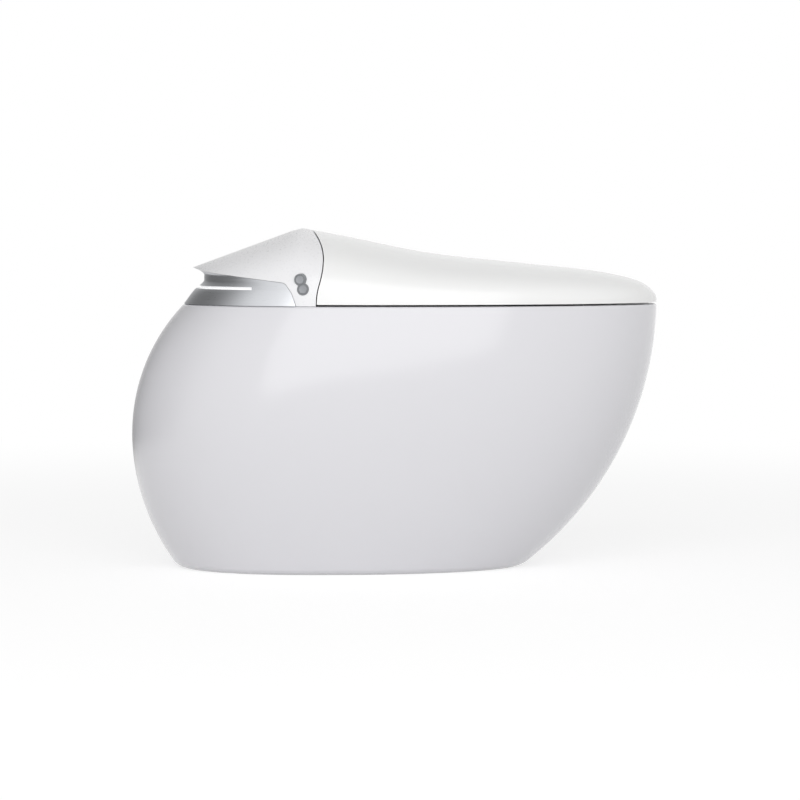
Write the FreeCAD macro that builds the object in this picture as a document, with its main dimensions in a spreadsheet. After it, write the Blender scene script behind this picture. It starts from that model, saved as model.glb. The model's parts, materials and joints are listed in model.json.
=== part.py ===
import FreeCAD, Part
import math
import os

import Sketcher
from FreeCAD import Placement, Rotation, Vector

# Floor-standing smart toilet: an egg-shaped china pedestal with a wash unit, a heated seat and a lid.
# +X points to the front, +Y to the sitter's left, +Z up; the origin is on the floor, rear_depth ahead of the
# pedestal's back, so a longer body grows forward and the rear unit stays where it is.
# Lengths are in millimetres and angles in degrees.

SIZES = {
    # china pedestal
    "body_length": 720, "rear_depth": 360, "body_width": 436, "rim_height": 360,
    "back_bulge_height": 182, "back_rim_inset": 72, "back_foot_inset": 61.5,
    "front_bulge_height": 368, "front_foot_inset": 184,
    "side_bulge_height": 270, "side_foot_inset": 73,
    "foot_round": 8, "rim_round": 3, "china_wall": 11, "foot_wall": 22, "deck_thickness": 14,
    "widest_share": 0.41, "back_round_share": 0.87, "front_round_share": 0.93,
    # bowl and trap
    "bowl_margin": 52, "bowl_back": 88, "bowl_width": 270, "sump_height": 78,
    "trap_radius": 27, "trap_wall": 10, "trap_bend": 55, "outlet_setback": 60, "spigot_height": 28,
    "trap_mouth_share": 0.55, "trap_mouth_height": 100, "trap_crest_drop": 95,
    # recess for the nozzles, port in the deck, service hole
    "notch_back": 152, "notch_front": 78, "notch_half_width": 60, "notch_depth": 36, "notch_wall": 9,
    "port_back": 262, "port_front": 172, "port_half_width": 62,
    "service_radius": 26, "service_height": 70, "grommet_length": 40, "grommet_inset": 1,
    "cable_bore": 4, "cable_offset": 11, "hose_bore": 8, "hose_offset": 10,
    # seal on the waste outlet
    "seal_bore": 55.3, "seal_bore_depth": 24, "seal_flange": 70, "seal_flange_height": 6,
    "seal_neck": 62, "seal_neck_start": 14, "seal_neck_height": 26, "seal_collar_wall": 11,
    "seal_collar_start": 33, "seal_collar_height": 44, "seal_step": 2,
    # common clearances
    "overrun": 20, "seat_clearance": 0.3, "running_clearance": 0.05,
    # flush valve
    "valve_back": 262, "valve_front": 182, "valve_half_width": 45, "valve_low": 98, "valve_high": 58,
    "coil_radius": 13, "coil_height": 34, "coil_pitch": 28, "spigot_radius": 7.5, "spigot_length": 12,
    "strap_back": 232, "strap_front": 212, "strap_thickness": 3, "strap_flange": 11,
    "thread_radius": 10.48, "thread_length": 15, "nut_radius": 14, "nut_length": 8, "inlet_neck": 9,
    "inlet_neck_length": 12, "inlet_setback": 240,
    # hoses and jets
    "hose_radius": 7, "hose_wall": 2, "hose_turn": 18, "wash_hose_radius": 6,
    "rim_hose_offset": 25, "rim_hose_setback": 150, "rim_jet_offset": 92, "rim_jet_drop": 35,
    "rim_jet_back": 112, "rim_jet_length": 52,
    "jet_hose_setback": 200, "jet_hose_offset": 25, "jet_run_offset": 95, "jet_run_height": 95,
    "siphon_jet_share": 0.576, "siphon_jet_outer": 72, "siphon_jet_length": 40,
    "wash_hose_setback": 206, "wash_hose_inset": 98, "wash_hose_rise": 25,
    # base tray and its bolts
    "tray_thickness": 4, "tray_inset": 12, "tray_front_gap": 1, "tray_bay_back": 164, "tray_bay_half": 106.5,
    "bolt_radius": 3, "bolt_head": 6, "bolt_head_height": 4, "bolt_length": 26, "bolt_nut_height": 6,
    "bolt_back_inset": 40, "bolt_back_offset": 84, "bolt_front": 118, "bolt_front_inset": 44,
    # hinge line, rear cover and lid seam
    "hinge_back": 146, "hinge_rise": 60, "nose_radius": 52.5, "nose_front": 102.4, "seam_gap": 1.5,
    "cover_back_inset": 11, "skin_reach": 12.7, "cover_side_inset": 1, "cover_wall": 3, "cover_gap": 0.4,
    "peak_back": 128, "peak_rise": 103.5, "lip_rise": 49, "crown_round_share": 0.77,
    "slot_half_low": 60, "slot_half_high": 100, "slot_top_rise": 89, "slot_mid_rise": 72, "slot_back": 162,
    "slot_top_back": 125, "mouth_rise": 17, "mouth_half_width": 57,
    # trim band under the lip, and the strip behind its slit
    "band_height": 42, "band_recess": 27, "band_wall": 3, "band_gap": 0.4, "band_side_share": 0.12,
    "bay_front": 128, "bay_knee_back": 134, "bay_knee_rise": 17.5, "bay_shoulder_back": 143.4,
    "bay_shoulder_rise": 31, "bay_rear_inset": 18, "bay_rear_rise": 44.6, "bay_lip_rise": 49.5,
    "slit_low": 21.2, "slit_high": 26.2, "slit_front": 188,
    "strip_low": 16.7, "strip_high": 30.7, "strip_wall": 2,
    # hinge brackets, dampers and pins
    "bracket_back": 170, "bracket_front": 134, "bracket_web": 6, "bracket_foot": 192,
    "bracket_foot_height": 3, "bracket_low": 12, "bracket_top": 13, "cheek": 6,
    "pin_radius": 5, "damper_radius": 10,
    "damper_length": 32, "seat_damper_length": 38, "pin_head": 8, "pin_head_length": 3.7,
    "arm_width": 19, "arm_gap": 0.5, "arm_hub": 11, "arm_half_leg": 7, "arm_low": 3, "arm_high": 13,
    # wash nozzles
    "mouth_back": 85, "mouth_drop": 8, "nozzle_slope_angle": 22, "wand_radius": 7.5,
    "wand_tail": 152, "wand_shoulder": 12, "wand_tip": 7, "wand_tip_radius": 5.5, "wand_play": 0.3,
    "wand_near": 14, "wand_far": 40,
    "jet_hole": 1, "jet_hole_back": 15, "jet_hole_pitch": 4,
    "carrier_tail": 118, "carrier_nose": 8, "carrier_low": 11, "carrier_high": 9, "carrier_width": 54,
    "carrier_leg_back": 192, "carrier_leg_front": 180, "carrier_leg_rise": 28, "carrier_leg_width": 4.5,
    "shield_thickness": 3, "shield_half_height": 13, "shield_margin": 1,
    "rack_low": 5, "rack_root": 7.6, "rack_tip": 10.4, "rack_width": 5, "rack_tail": 150, "rack_nose": 40,
    "rack_slot_play": 0.7, "tooth_pitch": 4.712, "pinion_tip_radius": 10.2,
    "pinion_root_radius": 7.4, "pinion_back": 45, "pinion_rise": 18.2, "pinion_width": 5, "pinion_bore": 2.55,
    "stepper_radius": 10, "stepper_length": 18, "stepper_gap": 1.5, "stepper_shaft": 2.5,
    "stepper_shaft_length": 6.5,
    "tooth_share": 0.4, "tooth_tip_share": 0.2,
    # warm air dryer
    "fan_setback": 122, "fan_offset": 40, "volute_radius": 28, "duct_low_offset": 46, "duct_high_offset": 12,
    "duct_half_height": 12, "duct_wall": 2, "duct_nose": 8,
    "fan_inlet": 13, "fan_shaft": 2, "fan_shaft_play": 0.6,
    "fan_leg_back": 203, "fan_leg_front": 195, "fan_leg_rise": 25.5, "fan_leg_near": 18, "fan_leg_far": 56,
    "fan_leg_width": 6, "wheel_radius": 22, "wheel_half_height": 8, "wheel_hub": 5, "wheel_plate": 1.5,
    "blade_thickness": 1.2, "blade_start": 13, "fan_motor_radius": 13, "fan_motor_length": 12,
    "flap_back": 11, "flap_thickness": 1.6, "flap_play": 0.4, "flap_axis_rise": 8.2, "flap_low": 9.4,
    "flap_high": 9.3, "flap_pin": 1, "flap_pin_length": 1.2,
    # blocks in the rear unit
    "heater_back": 160, "heater_front": 112, "heater_width": 44, "heater_inset": 62, "heater_rise": 38,
    "supply_back": 236, "supply_front": 194, "supply_near": 58, "supply_far": 96, "supply_rise": 30,
    "board_back": 236, "board_front": 194, "board_near": 71, "board_far": 96, "board_rise": 9,
    "board_thickness": 1.6, "board_post": 3, "board_post_inset": 5, "chip_length": 16, "chip_width": 8,
    "chip_height": 5, "relay_height": 12,
    # push buttons on the cover's side
    "button_back": 121, "button_lift": 0.0828, "button_rise": 29,
    "button_yaw_angle": 15, "button_roll_angle": 18,
    "button_half_pitch": 6.6, "bezel_radius": 7.9, "bezel_proud": 1, "bezel_depth": 12.3,
    "button_hole_radius": 8.2,
    "button_radius": 5.7, "button_play": 0.3, "button_proud": 1.8, "button_depth": 8, "switch_board_half": 9,
    "switch_board_rise": 13, "switch_radius": 3, "switch_height": 2, "button_pocket": 14,
    # lid
    "lid_gap": 2.5, "crown_base": 4, "lid_wall": 3, "liner_gap": 0.3, "liner_wall": 2.5,
    "lid_arm_front": 89, "lid_arm_rise": 35, "lid_arm_gap": 3.9, "liner_notch_rise": 21,
    "bumper_radius": 7, "lid_bumper_margin": 125, "lid_bumper_inset": 114,
    "lid_bumper_rear": 40, "lid_bumper_rear_inset": 78, "lid_bumper_height": 44,
    # seat
    "seat_rise": 6, "seat_split": 12.5, "seat_top_rise": 24, "seat_back": 66, "seat_inset": 26,
    "hole_back": 8, "hole_margin": 75, "hole_half_width": 106, "seat_edge_round": 8,
    "seat_arm_front": 50, "film_height": 1.2, "film_inset": 16, "film_play": 0.2,
    "seat_bumper_height": 5.7, "seat_bumper_margin": 114, "seat_bumper_inset": 104,
    "seat_bumper_rear": 20, "seat_bumper_rear_inset": 58,
}

OVAL_POINTS = 28
CROWN_POINTS = 13
WHEEL_BLADES = 11
PINION_TEETH = 12
QUARTER_TURN = 90
FOOT_EASE_SHARE = 0.3
FOOT_TAPER_SHARE = 0.25

# Heights of the china's sections, as shares of its height.
CHINA_HEIGHT_SHARES = (0, 0.12, 0.25, 0.38, 0.5, 0.63, 0.76, 0.88, 1)
# Bowl sections: depth, back end and front end along the opening, and width, as shares of the opening.
BOWL_SHARES = (
    (0, 0, 1, 1), (0.1, 0, 1, 1), (0.3, 0.1, 0.96, 0.88), (0.5, 0.285, 0.875, 0.68),
    (0.7, 0.4, 0.77, 0.47), (0.87, 0.46, 0.69, 0.32), (1, 0.5, 0.64, 0.22),
)
# Rear cover sections as shares of its turn round the plan's rounded back end.
COVER_TURN_SHARES = (
    0.083333, 0.154762, 0.261905, 0.392857, 0.52381, 0.654762, 0.761905, 0.869048, 1,
)
# Lid top line: place along the lid from the peak, and height above the rim, as shares.
LID_PROFILE_SHARES = (
    (0, 1), (0.126, 0.887), (0.363, 0.667), (0.634, 0.528), (0.8, 0.447), (0.87, 0.395),
    (0.938, 0.316), (0.972, 0.236), (0.997, 0.116), (1, 0.05),
)
LID_SECTION_SHARES = (0, 0.08, 0.2, 0.34, 0.5, 0.66, 0.79, 0.87, 0.925, 0.96, 0.982, 0.995)
# Trim band sections: height and depth of the recess, as shares.
BAND_SHARES = ((0, 0), (0.44, 0.52), (0.58, 0.78), (0.72, 1), (0.83, 1.02), (0.97, 1), (1.12, 0.7))
# Lid seam from the rim up to the hinge line: height below the hinge line, and setback behind the nose's
# foremost line, as shares; the last point lies inside the round nose.
SEAM_SHARES = (
    (1, 1), (0.87, 0.985), (0.75, 0.9), (0.63, 0.755), (0.52, 0.56), (0.4, 0.35), (0.28, 0.18), (0.17, 0.07),
    (0, 0.17),
)


class Dim:
    """A size that knows both its expression for the document and its present value."""

    def __init__(self, text, value):
        self.text = text
        self.value = value

    def __float__(self):
        return float(self.value)

    @staticmethod
    def of(other):
        return other if isinstance(other, Dim) else Dim(repr(other), other)

    def __add__(self, other):
        other = Dim.of(other)
        return Dim(f"({self.text} + {other.text})", self.value + other.value)

    def __sub__(self, other):
        other = Dim.of(other)
        return Dim(f"({self.text} - {other.text})", self.value - other.value)

    def __rsub__(self, other):
        return Dim.of(other) - self

    def __mul__(self, other):
        other = Dim.of(other)
        return Dim(f"({self.text} * {other.text})", self.value * other.value)

    def __truediv__(self, other):
        other = Dim.of(other)
        return Dim(f"({self.text} / {other.text})", self.value / other.value)

    def __neg__(self):
        return Dim(f"(-1 * {self.text})", -self.value)


class Sizes:
    """The named sizes, read back from the document's sheet."""

    def __init__(self, sheet, table):
        for row, (alias, value) in enumerate(table.items(), start=1):
            sheet.set(f"A{row}", alias)
            sheet.set(f"B{row}", str(value))
            sheet.setAlias(f"B{row}", alias)
        sheet.Document.recompute()
        for alias in table:
            setattr(self, alias, Dim(f"{sheet.Name}.{alias}", sheet.get(alias)))


DOC = FreeCAD.newDocument("smart_toilet")
D = Sizes(DOC.addObject("Spreadsheet::Sheet", "Sizes"), SIZES)
PIECES = []

RIM = D.rim_height
FRONT = D.body_length - D.rear_depth
RIM_BACK = D.rear_depth - D.back_rim_inset
COVER_BACK = RIM_BACK - D.cover_back_inset
HALF_WIDTH = D.body_width / 2
HINGE_HEIGHT = RIM + D.hinge_rise
TRAY_TOP = RIM + D.tray_thickness
BOWL_LENGTH = FRONT - D.bowl_margin + D.bowl_back
JET_PLACE = BOWL_LENGTH * D.siphon_jet_share - D.bowl_back
WASH_HOSE_PLACE = HALF_WIDTH - D.wash_hose_inset
# A length past every edge, and half of it, for cuts that run right through.
FAR = D.body_length
HALF = FAR / 2

TURN = {
    "x": Rotation(Vector(0, 1, 0), QUARTER_TURN),
    "y": Rotation(Vector(1, 0, 0), -QUARTER_TURN),
    "-y": Rotation(Vector(1, 0, 0), QUARTER_TURN),
    "z": Rotation(),
}


def bind(thing, prop, size):
    """Ties a property to a size; a plain zero leaves the property's own zero."""
    if isinstance(size, Dim):
        thing.setExpression(prop, size.text)


def locate(thing, at, turn=None):
    """Places a thing at three sizes, turned by a fixed rotation."""
    if turn is not None:
        thing.Placement = Placement(Vector(), turn)
    for axis, size in zip("xyz", at):
        bind(thing, f"Placement.Base.{axis}", size)
    return thing


def block(name, along, across, up):
    """A box between two corners; each argument is its low and high limit."""
    solid = DOC.addObject("Part::Box", name)
    for prop, axis, limits in zip(("Length", "Width", "Height"), "xyz", (along, across, up)):
        low, high = limits
        bind(solid, prop, high - low)
        bind(solid, f"Placement.Base.{axis}", low)
    return solid


def rod(name, radius, length, at, along="z"):
    """A cylinder that starts at a point and runs along an axis."""
    solid = DOC.addObject("Part::Cylinder", name)
    bind(solid, "Radius", radius)
    bind(solid, "Height", length)
    return locate(solid, at, TURN[along])


def cone(name, start_radius, end_radius, length, at, along="z"):
    """A cone that starts at a point and runs along an axis."""
    solid = DOC.addObject("Part::Cone", name)
    bind(solid, "Radius1", start_radius)
    bind(solid, "Radius2", end_radius)
    bind(solid, "Height", length)
    return locate(solid, at, TURN[along])


def form(name, shape):
    """A free form that no primitive or sketch gives."""
    thing = DOC.addObject("Part::Feature", name)
    thing.Shape = shape
    return thing


def boolean(kind, name):
    """An empty boolean that leaves its faces as they come, which free forms need."""
    thing = DOC.addObject(kind, name)
    thing.Refine = False
    return thing


def join(name, *solids):
    thing = boolean("Part::MultiFuse", name)
    thing.Shapes = list(solids)
    return thing


def carve(name, base, *tools):
    thing = boolean("Part::Cut", name)
    thing.Base = base
    thing.Tool = tools[0] if len(tools) == 1 else join(f"{name}_tools", *tools)
    return thing


def overlap(name, first, second):
    thing = boolean("Part::Common", name)
    thing.Base = first
    thing.Tool = second
    return thing


def group(name, *solids):
    thing = DOC.addObject("Part::Compound", name)
    thing.Links = list(solids)
    return thing


def keep(thing, label):
    """Names a finished sub-part and lists it for writing."""
    thing.Label = label
    PIECES.append(thing)
    return thing


def tilt(thing):
    """Moves a thing built about the nozzle mouth onto the nozzles' slope."""
    thing.Placement = Placement(Vector(), Rotation(Vector(0, 1, 0), float(D.nozzle_slope_angle)))
    bind(thing, "Placement.Rotation.Angle", D.nozzle_slope_angle)
    return locate(thing, (-D.mouth_back, 0, D.rim_height - D.mouth_drop))


def outline_sketch(body, name, role, points):
    """A closed outline whose corners are all held by sizes from the sketch's origin."""
    sketch = body.newObject("Sketcher::SketchObject", name)
    plane = [feature for feature in body.Origin.OriginFeatures if feature.Role == role][0]
    sketch.AttachmentSupport = [(plane, "")]
    sketch.MapMode = "FlatFace"
    corners = [Vector(float(across), float(up), 0) for across, up in points]
    for index, corner in enumerate(corners):
        sketch.addGeometry(Part.LineSegment(corner, corners[(index + 1) % len(corners)]), False)
    for index in range(len(corners)):
        sketch.addConstraint(Sketcher.Constraint("Coincident", index, 2, (index + 1) % len(corners), 1))
    for index, point in enumerate(points):
        for kind, axis, size in (("DistanceX", -2, point[0]), ("DistanceY", -1, point[1])):
            if isinstance(size, Dim):
                row = sketch.addConstraint(Sketcher.Constraint(kind, -1, 1, index, 1, float(size)))
                sketch.setExpression(f"Constraints[{row}]", size.text)
            else:
                sketch.addConstraint(Sketcher.Constraint("PointOnObject", index, 1, axis))
    return sketch


def turned(name, profile, at, along="z"):
    """A turned body: an outline of radius and height, revolved."""
    body = DOC.addObject("PartDesign::Body", name)
    sketch = outline_sketch(body, f"{name}_outline", "XZ_Plane", profile)
    spin = body.newObject("PartDesign::Revolution", f"{name}_turn")
    spin.Profile = sketch
    spin.ReferenceAxis = (sketch, ["V_Axis"])
    spin.Angle = 4 * QUARTER_TURN
    return locate(body, at, TURN[along])


def side_pad(name, outline, width):
    """A body padded from an outline in the side view, the same amount to both sides."""
    body = DOC.addObject("PartDesign::Body", name)
    pad = body.newObject("PartDesign::Pad", f"{name}_pad")
    pad.Profile = outline_sketch(body, f"{name}_outline", "XZ_Plane", outline)
    bind(pad, "Length", width)
    pad.Midplane = True
    return body


def span(side, near, far):
    """Limits across the body on the left (1) or the right (-1) side."""
    return (near, far) if side > 0 else (-far, -near)


def spline(points, closed):
    """A smooth curve through points, with even parameters so that sections match."""
    curve = Part.BSplineCurve()
    count = len(points) + 1 if closed else len(points)
    curve.interpolate(Points=points, PeriodicFlag=closed, Parameters=[float(k) for k in range(count)])
    return curve.toShape()


def oval(back, front, half_width, height):
    """A level egg-shaped outline, fuller at the back."""
    middle = back + (front - back) * float(D.widest_share)
    points = []
    for index in range(OVAL_POINTS):
        angle = math.pi + 2 * math.pi * index / OVAL_POINTS
        cosine, sine = math.cos(angle), math.sin(angle)
        ahead = cosine > 0
        power = float(D.front_round_share if ahead else D.back_round_share)
        reach = front - middle if ahead else middle - back
        along = middle + math.copysign(reach * abs(cosine) ** power, cosine)
        across = math.copysign(half_width * abs(sine) ** power, sine)
        points.append(Vector(along, across, height))
    return Part.Wire([spline(points, True)])


def oval_half_width(place, back, front, half_width):
    """Half the width of an oval at a place along it."""
    middle = back + (front - back) * float(D.widest_share)
    ahead = place > middle
    fullness = 2 / float(D.front_round_share if ahead else D.back_round_share)
    share = (place - middle) / (front - middle) if ahead else (middle - place) / (middle - back)
    return half_width * max(0, 1 - share ** fullness) ** (1 / fullness)


def crown(place, half_width, bottom, top, sink):
    """A domed section across the body, with upright sides sunk below it and a flat bottom."""
    power = float(D.crown_round_share)
    points = []
    for index in range(CROWN_POINTS):
        angle = math.pi * index / (CROWN_POINTS - 1)
        cosine, sine = math.cos(angle), math.sin(angle)
        across = math.copysign(half_width * abs(cosine) ** power, cosine)
        points.append(Vector(place, across, bottom + (top - bottom) * abs(sine) ** power))
    corners = [points[-1], points[-1] - Vector(0, 0, sink), points[0] - Vector(0, 0, sink), points[0]]
    sides = [Part.LineSegment(first, second).toShape() for first, second in zip(corners, corners[1:])]
    return Part.Wire([spline(points, False)] + sides)


def skin(wires):
    return Part.makeLoft(wires, True, False)


def sagitta(radius, rise):
    """How far an arc falls back from its tangent."""
    return radius - math.sqrt(radius ** 2 - rise ** 2)


def falling(height, bulge, end, inset):
    """How far an arc, upright at its bulge and falling by an inset at its end, has fallen at a height."""
    rise = float(end - bulge)
    inset = float(inset)
    return sagitta((rise ** 2 + inset ** 2) / (2 * inset), height - float(bulge))


def china_limits(height):
    """Back end, front end and half width of the pedestal at a height."""
    if height > float(D.back_bulge_height):
        back_fall = falling(height, D.back_bulge_height, D.rim_height, D.back_rim_inset)
    else:
        back_fall = falling(height, D.back_bulge_height, 0, D.back_foot_inset)
    back = back_fall - float(D.rear_depth)
    front = float(FRONT) - falling(height, D.front_bulge_height, 0, D.front_foot_inset)
    side = float(HALF_WIDTH) - falling(height, D.side_bulge_height, 0, D.side_foot_inset)
    return back, front, side


def china_oval(height, inset):
    """The pedestal's outline at a height, moved in."""
    back, front, side = china_limits(height)
    return oval(back + inset, front - inset, side - inset, height)


def china_form(inset, low, top, foot=0):
    """The pedestal's outside between two heights, or its hollow when inset, with a thicker foot."""
    wires = []
    for share in CHINA_HEIGHT_SHARES:
        thicker = foot * max(0, 1 - share / FOOT_TAPER_SHARE)
        wires.append(china_oval(low + share * (top - low), inset + thicker))
    return skin(wires)


def china_foot():
    """The eased edge where the pedestal meets the floor."""
    ease = float(D.foot_round)
    rows = [(0, 1), (FOOT_EASE_SHARE, FOOT_EASE_SHARE), (1, 0)]
    return Part.makeLoft([china_oval(rise * ease, inset * ease) for rise, inset in rows], True, True)


def bowl_form(wall, lift):
    """The bowl's hollow, or its outside when a wall is added."""
    length, depth = float(BOWL_LENGTH), float(D.rim_height - D.sump_height)
    start = -float(D.bowl_back)
    wires = []
    for deep, back, front, width in BOWL_SHARES:
        height = float(D.rim_height) - deep * depth
        if deep == 0:
            height += lift
        if deep == 1:
            height -= wall
        half = float(D.bowl_width) / 2 * width + wall
        wires.append(oval(start + back * length - wall, start + front * length + wall, half, height))
    return skin(wires)


def tube_path(points, bend):
    """Straight runs joined by tangent arcs."""
    edges = []
    start = points[0]
    for corner, after in zip(points[1:], points[2:]):
        toward = (corner - start).normalize()
        away = (after - corner).normalize()
        half_turn = toward.getAngle(away) / 2
        setback = bend * math.tan(half_turn)
        entry = corner - toward * setback
        leave = corner + away * setback
        inward = (away - toward).normalize()
        middle = corner + inward * (bend / math.cos(half_turn) - bend)
        edges.append(Part.LineSegment(start, entry).toShape())
        edges.append(Part.Arc(entry, middle, leave).toShape())
        start = leave
    edges.append(Part.LineSegment(start, points[-1]).toShape())
    return Part.Wire(edges)


def tube(points, bend, radius):
    """A round bar swept along straight runs and arcs."""
    path = tube_path(points, bend)
    start = (points[1] - points[0]).normalize()
    ring = Part.Wire([Part.Circle(points[0], start, radius).toShape()])
    return path.makePipeShell([ring], True, False)


def hose(name, points, radius):
    """A hose with its bore, along a route given as triples of sizes."""
    route = [Vector(float(x), float(y), float(z)) for x, y, z in points]
    bend = float(D.hose_turn)
    outside = form(f"{name}_outside", tube(route, bend, float(radius)))
    inside = form(f"{name}_inside", tube(route, bend, float(radius - D.hose_wall)))
    return keep(carve(name, outside, inside), name)


def build_china():
    """The casting, kept as two simpler solids that meet under the deck: skirt with deck, bowl with trap."""
    outer = china_form(0, float(D.foot_round), float(RIM))
    top_edges = [edge for edge in outer.Edges if edge.BoundBox.ZMin > float(RIM - D.rim_round / 2)]
    outside = form("china_outside", outer.makeFillet(float(D.rim_round), top_edges))
    foot = form("china_foot", china_foot())
    ceiling = float(RIM - D.deck_thickness)
    foot_extra = float(D.foot_wall - D.china_wall)
    hollow = form("china_hollow", china_form(float(D.china_wall), -float(D.overrun), ceiling, foot_extra))
    bowl_wall = form("bowl_wall", bowl_form(float(D.china_wall), -float(D.deck_thickness) / 2))
    bowl_space = form("bowl_space", bowl_form(0, float(D.overrun)))
    mouth = Vector(float(BOWL_LENGTH * D.trap_mouth_share - D.bowl_back), 0, float(D.trap_mouth_height))
    crest = Vector(-float(D.outlet_setback), 0, float(RIM - D.trap_crest_drop))
    spigot = Vector(crest.x, 0, float(D.spigot_height))
    below = Vector(crest.x, 0, -float(D.overrun))
    bend = float(D.trap_bend)
    trap_wall = form("trap_wall_tube", tube([mouth, crest, spigot], bend, float(D.trap_radius + D.trap_wall)))
    trap_space = form("trap_space", tube([mouth, crest, below], bend, float(D.trap_radius)))
    pan_half = D.notch_half_width + D.notch_wall
    pan_floor = RIM - D.notch_depth - D.notch_wall
    pan = block("notch_pan", (-D.notch_back - D.notch_wall, -D.notch_front), (-pan_half, pan_half),
                (pan_floor, RIM - D.deck_thickness / 2))
    notch = block("notch_space", (-D.notch_back, -D.notch_front + D.overrun),
                  (-D.notch_half_width, D.notch_half_width), (RIM - D.notch_depth, RIM + D.overrun))
    port = block("deck_port", (-D.port_back, -D.port_front), (-D.port_half_width, D.port_half_width),
                 (RIM - D.deck_thickness - D.overrun, RIM + D.overrun))
    service = rod("service_hole", D.service_radius, D.overrun + D.overrun + D.overrun,
                  (-D.rear_depth - D.overrun, 0, D.service_height), "x")
    deck_zone = block("deck_zone", (-FAR, FAR), (-FAR, FAR), (RIM - D.deck_thickness, RIM + D.overrun))
    rim_jet = rod("rim_jet_hole", D.hose_radius + D.seat_clearance, D.rim_jet_length + D.overrun,
                  (-D.rim_jet_back, D.rim_jet_offset, RIM - D.rim_jet_drop), "x")
    siphon_jet = rod("siphon_jet_hole", D.hose_radius + D.seat_clearance, D.siphon_jet_outer,
                     (JET_PLACE, -D.siphon_jet_outer, D.jet_run_height), "y")
    bowl = join("bowl_mass", bowl_wall, trap_wall)
    keep(carve("ceramic_bowl", bowl, deck_zone, pan, bowl_space, trap_space, notch, rim_jet, siphon_jet),
         "ceramic_bowl")
    tools = [bowl_space, notch, port, service]
    tools.append(rod("wash_hose_hole", D.wash_hose_radius + D.seat_clearance, D.deck_thickness + D.overrun,
                     (-D.wash_hose_setback, WASH_HOSE_PLACE, RIM - D.deck_thickness - D.overrun / 2)))
    for index, (along, across) in enumerate(bolt_places()):
        tools.append(rod(f"deck_bolt_hole_{index}", D.bolt_radius + D.seat_clearance,
                         D.deck_thickness + D.overrun,
                         (along, across, RIM - D.deck_thickness - D.overrun / 2)))
    shell = carve("china_shell", join("china_solid", outside, foot), hollow)
    keep(carve("ceramic_body", join("china_mass", shell, pan), *tools), "ceramic_body")


def bolt_places():
    """Where the tray is bolted to the deck."""
    front_offset = HALF_WIDTH - D.bolt_front_inset
    back = D.bolt_back_inset - RIM_BACK
    return [
        (back, D.bolt_back_offset), (back, -D.bolt_back_offset),
        (-D.bolt_front, front_offset), (-D.bolt_front, -front_offset),
    ]


def build_outlet():
    """The rubber seal between the trap's spigot and the soil pipe, and the grommet at the back."""
    spigot = D.trap_radius + D.trap_wall + D.seat_clearance
    lip = D.trap_radius + D.seal_step
    collar = spigot + D.seal_collar_wall
    profile = [
        (D.seal_bore, 0), (D.seal_flange, 0), (D.seal_flange, D.seal_flange_height),
        (D.seal_neck, D.seal_neck_start), (D.seal_neck, D.seal_neck_height), (collar, D.seal_collar_start),
        (collar, D.seal_collar_height), (spigot, D.seal_collar_height), (spigot, D.spigot_height),
        (lip, D.spigot_height), (lip, D.seal_bore_depth), (D.seal_bore, D.seal_bore_depth),
    ]
    keep(turned("outlet_seal", profile, (-D.outlet_setback, 0, 0)), "outlet_seal")
    start = (-D.rear_depth, 0, D.service_height)
    plug = rod("grommet_plug", D.service_radius - D.seat_clearance, D.grommet_length, start, "x")
    cable = rod("grommet_cable_bore", D.cable_bore, D.grommet_length + D.overrun,
                (-D.rear_depth - D.overrun / 2, -D.cable_offset, D.service_height), "x")
    water = rod("grommet_hose_bore", D.hose_bore, D.grommet_length + D.overrun,
                (-D.rear_depth - D.overrun / 2, D.hose_offset, D.service_height), "x")
    limit = form("grommet_limit", china_form(float(D.grommet_inset), 0, float(RIM)))
    keep(carve("service_grommet", overlap("grommet_flush", plug, limit), cable, water), "service_grommet")


def build_flush():
    """The flush valve hung under the deck, with its coils, inlet, hoses and jets."""
    low, high = RIM - D.valve_low, RIM - D.valve_high
    middle = (low + high) / 2
    body = block("valve_block", (-D.valve_back, -D.valve_front), (-D.valve_half_width, D.valve_half_width),
                 (low, high))
    rim_out = rod("valve_rim_spigot", D.spigot_radius, D.spigot_length,
                  (-D.valve_front, D.rim_hose_offset, middle), "x")
    jet_out = rod("valve_jet_spigot", D.spigot_radius, D.spigot_length,
                  (-D.jet_hose_setback, -D.jet_hose_offset, low - D.spigot_length))
    keep(join("flush_valve", body, rim_out, jet_out), "flush_valve")
    coils = []
    for index in (-1, 0, 1):
        place = (-(D.valve_back + D.valve_front) / 2, D.coil_pitch * index, high)
        coils.append(rod(f"coil_{index + 1}", D.coil_radius, D.coil_height, place))
    keep(group("flush_coils", *coils), "flush_coils")
    straps = []
    for side in (1, -1):
        inner = D.valve_half_width
        outer = inner + D.strap_thickness
        along = (-D.strap_back, -D.strap_front)
        leg = block(f"strap_leg_{side}", along, span(side, inner, outer), (low, RIM))
        foot = block(f"strap_foot_{side}", along, span(side, inner, outer + D.strap_flange),
                     (RIM - D.strap_thickness, RIM))
        straps.append(join(f"strap_{side}", leg, foot))
    keep(group("valve_straps", *straps), "valve_straps")
    stub = D.thread_length
    collar = stub + D.nut_length
    end = collar + D.inlet_neck_length
    profile = [
        (0, 0), (D.thread_radius, 0), (D.thread_radius, stub), (D.nut_radius, stub), (D.nut_radius, collar),
        (D.inlet_neck, collar), (D.inlet_neck, end), (0, end),
    ]
    keep(turned("inlet_fitting", profile, (-D.inlet_setback, 0, low - end)), "inlet_fitting")
    build_hoses(low, middle)


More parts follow.
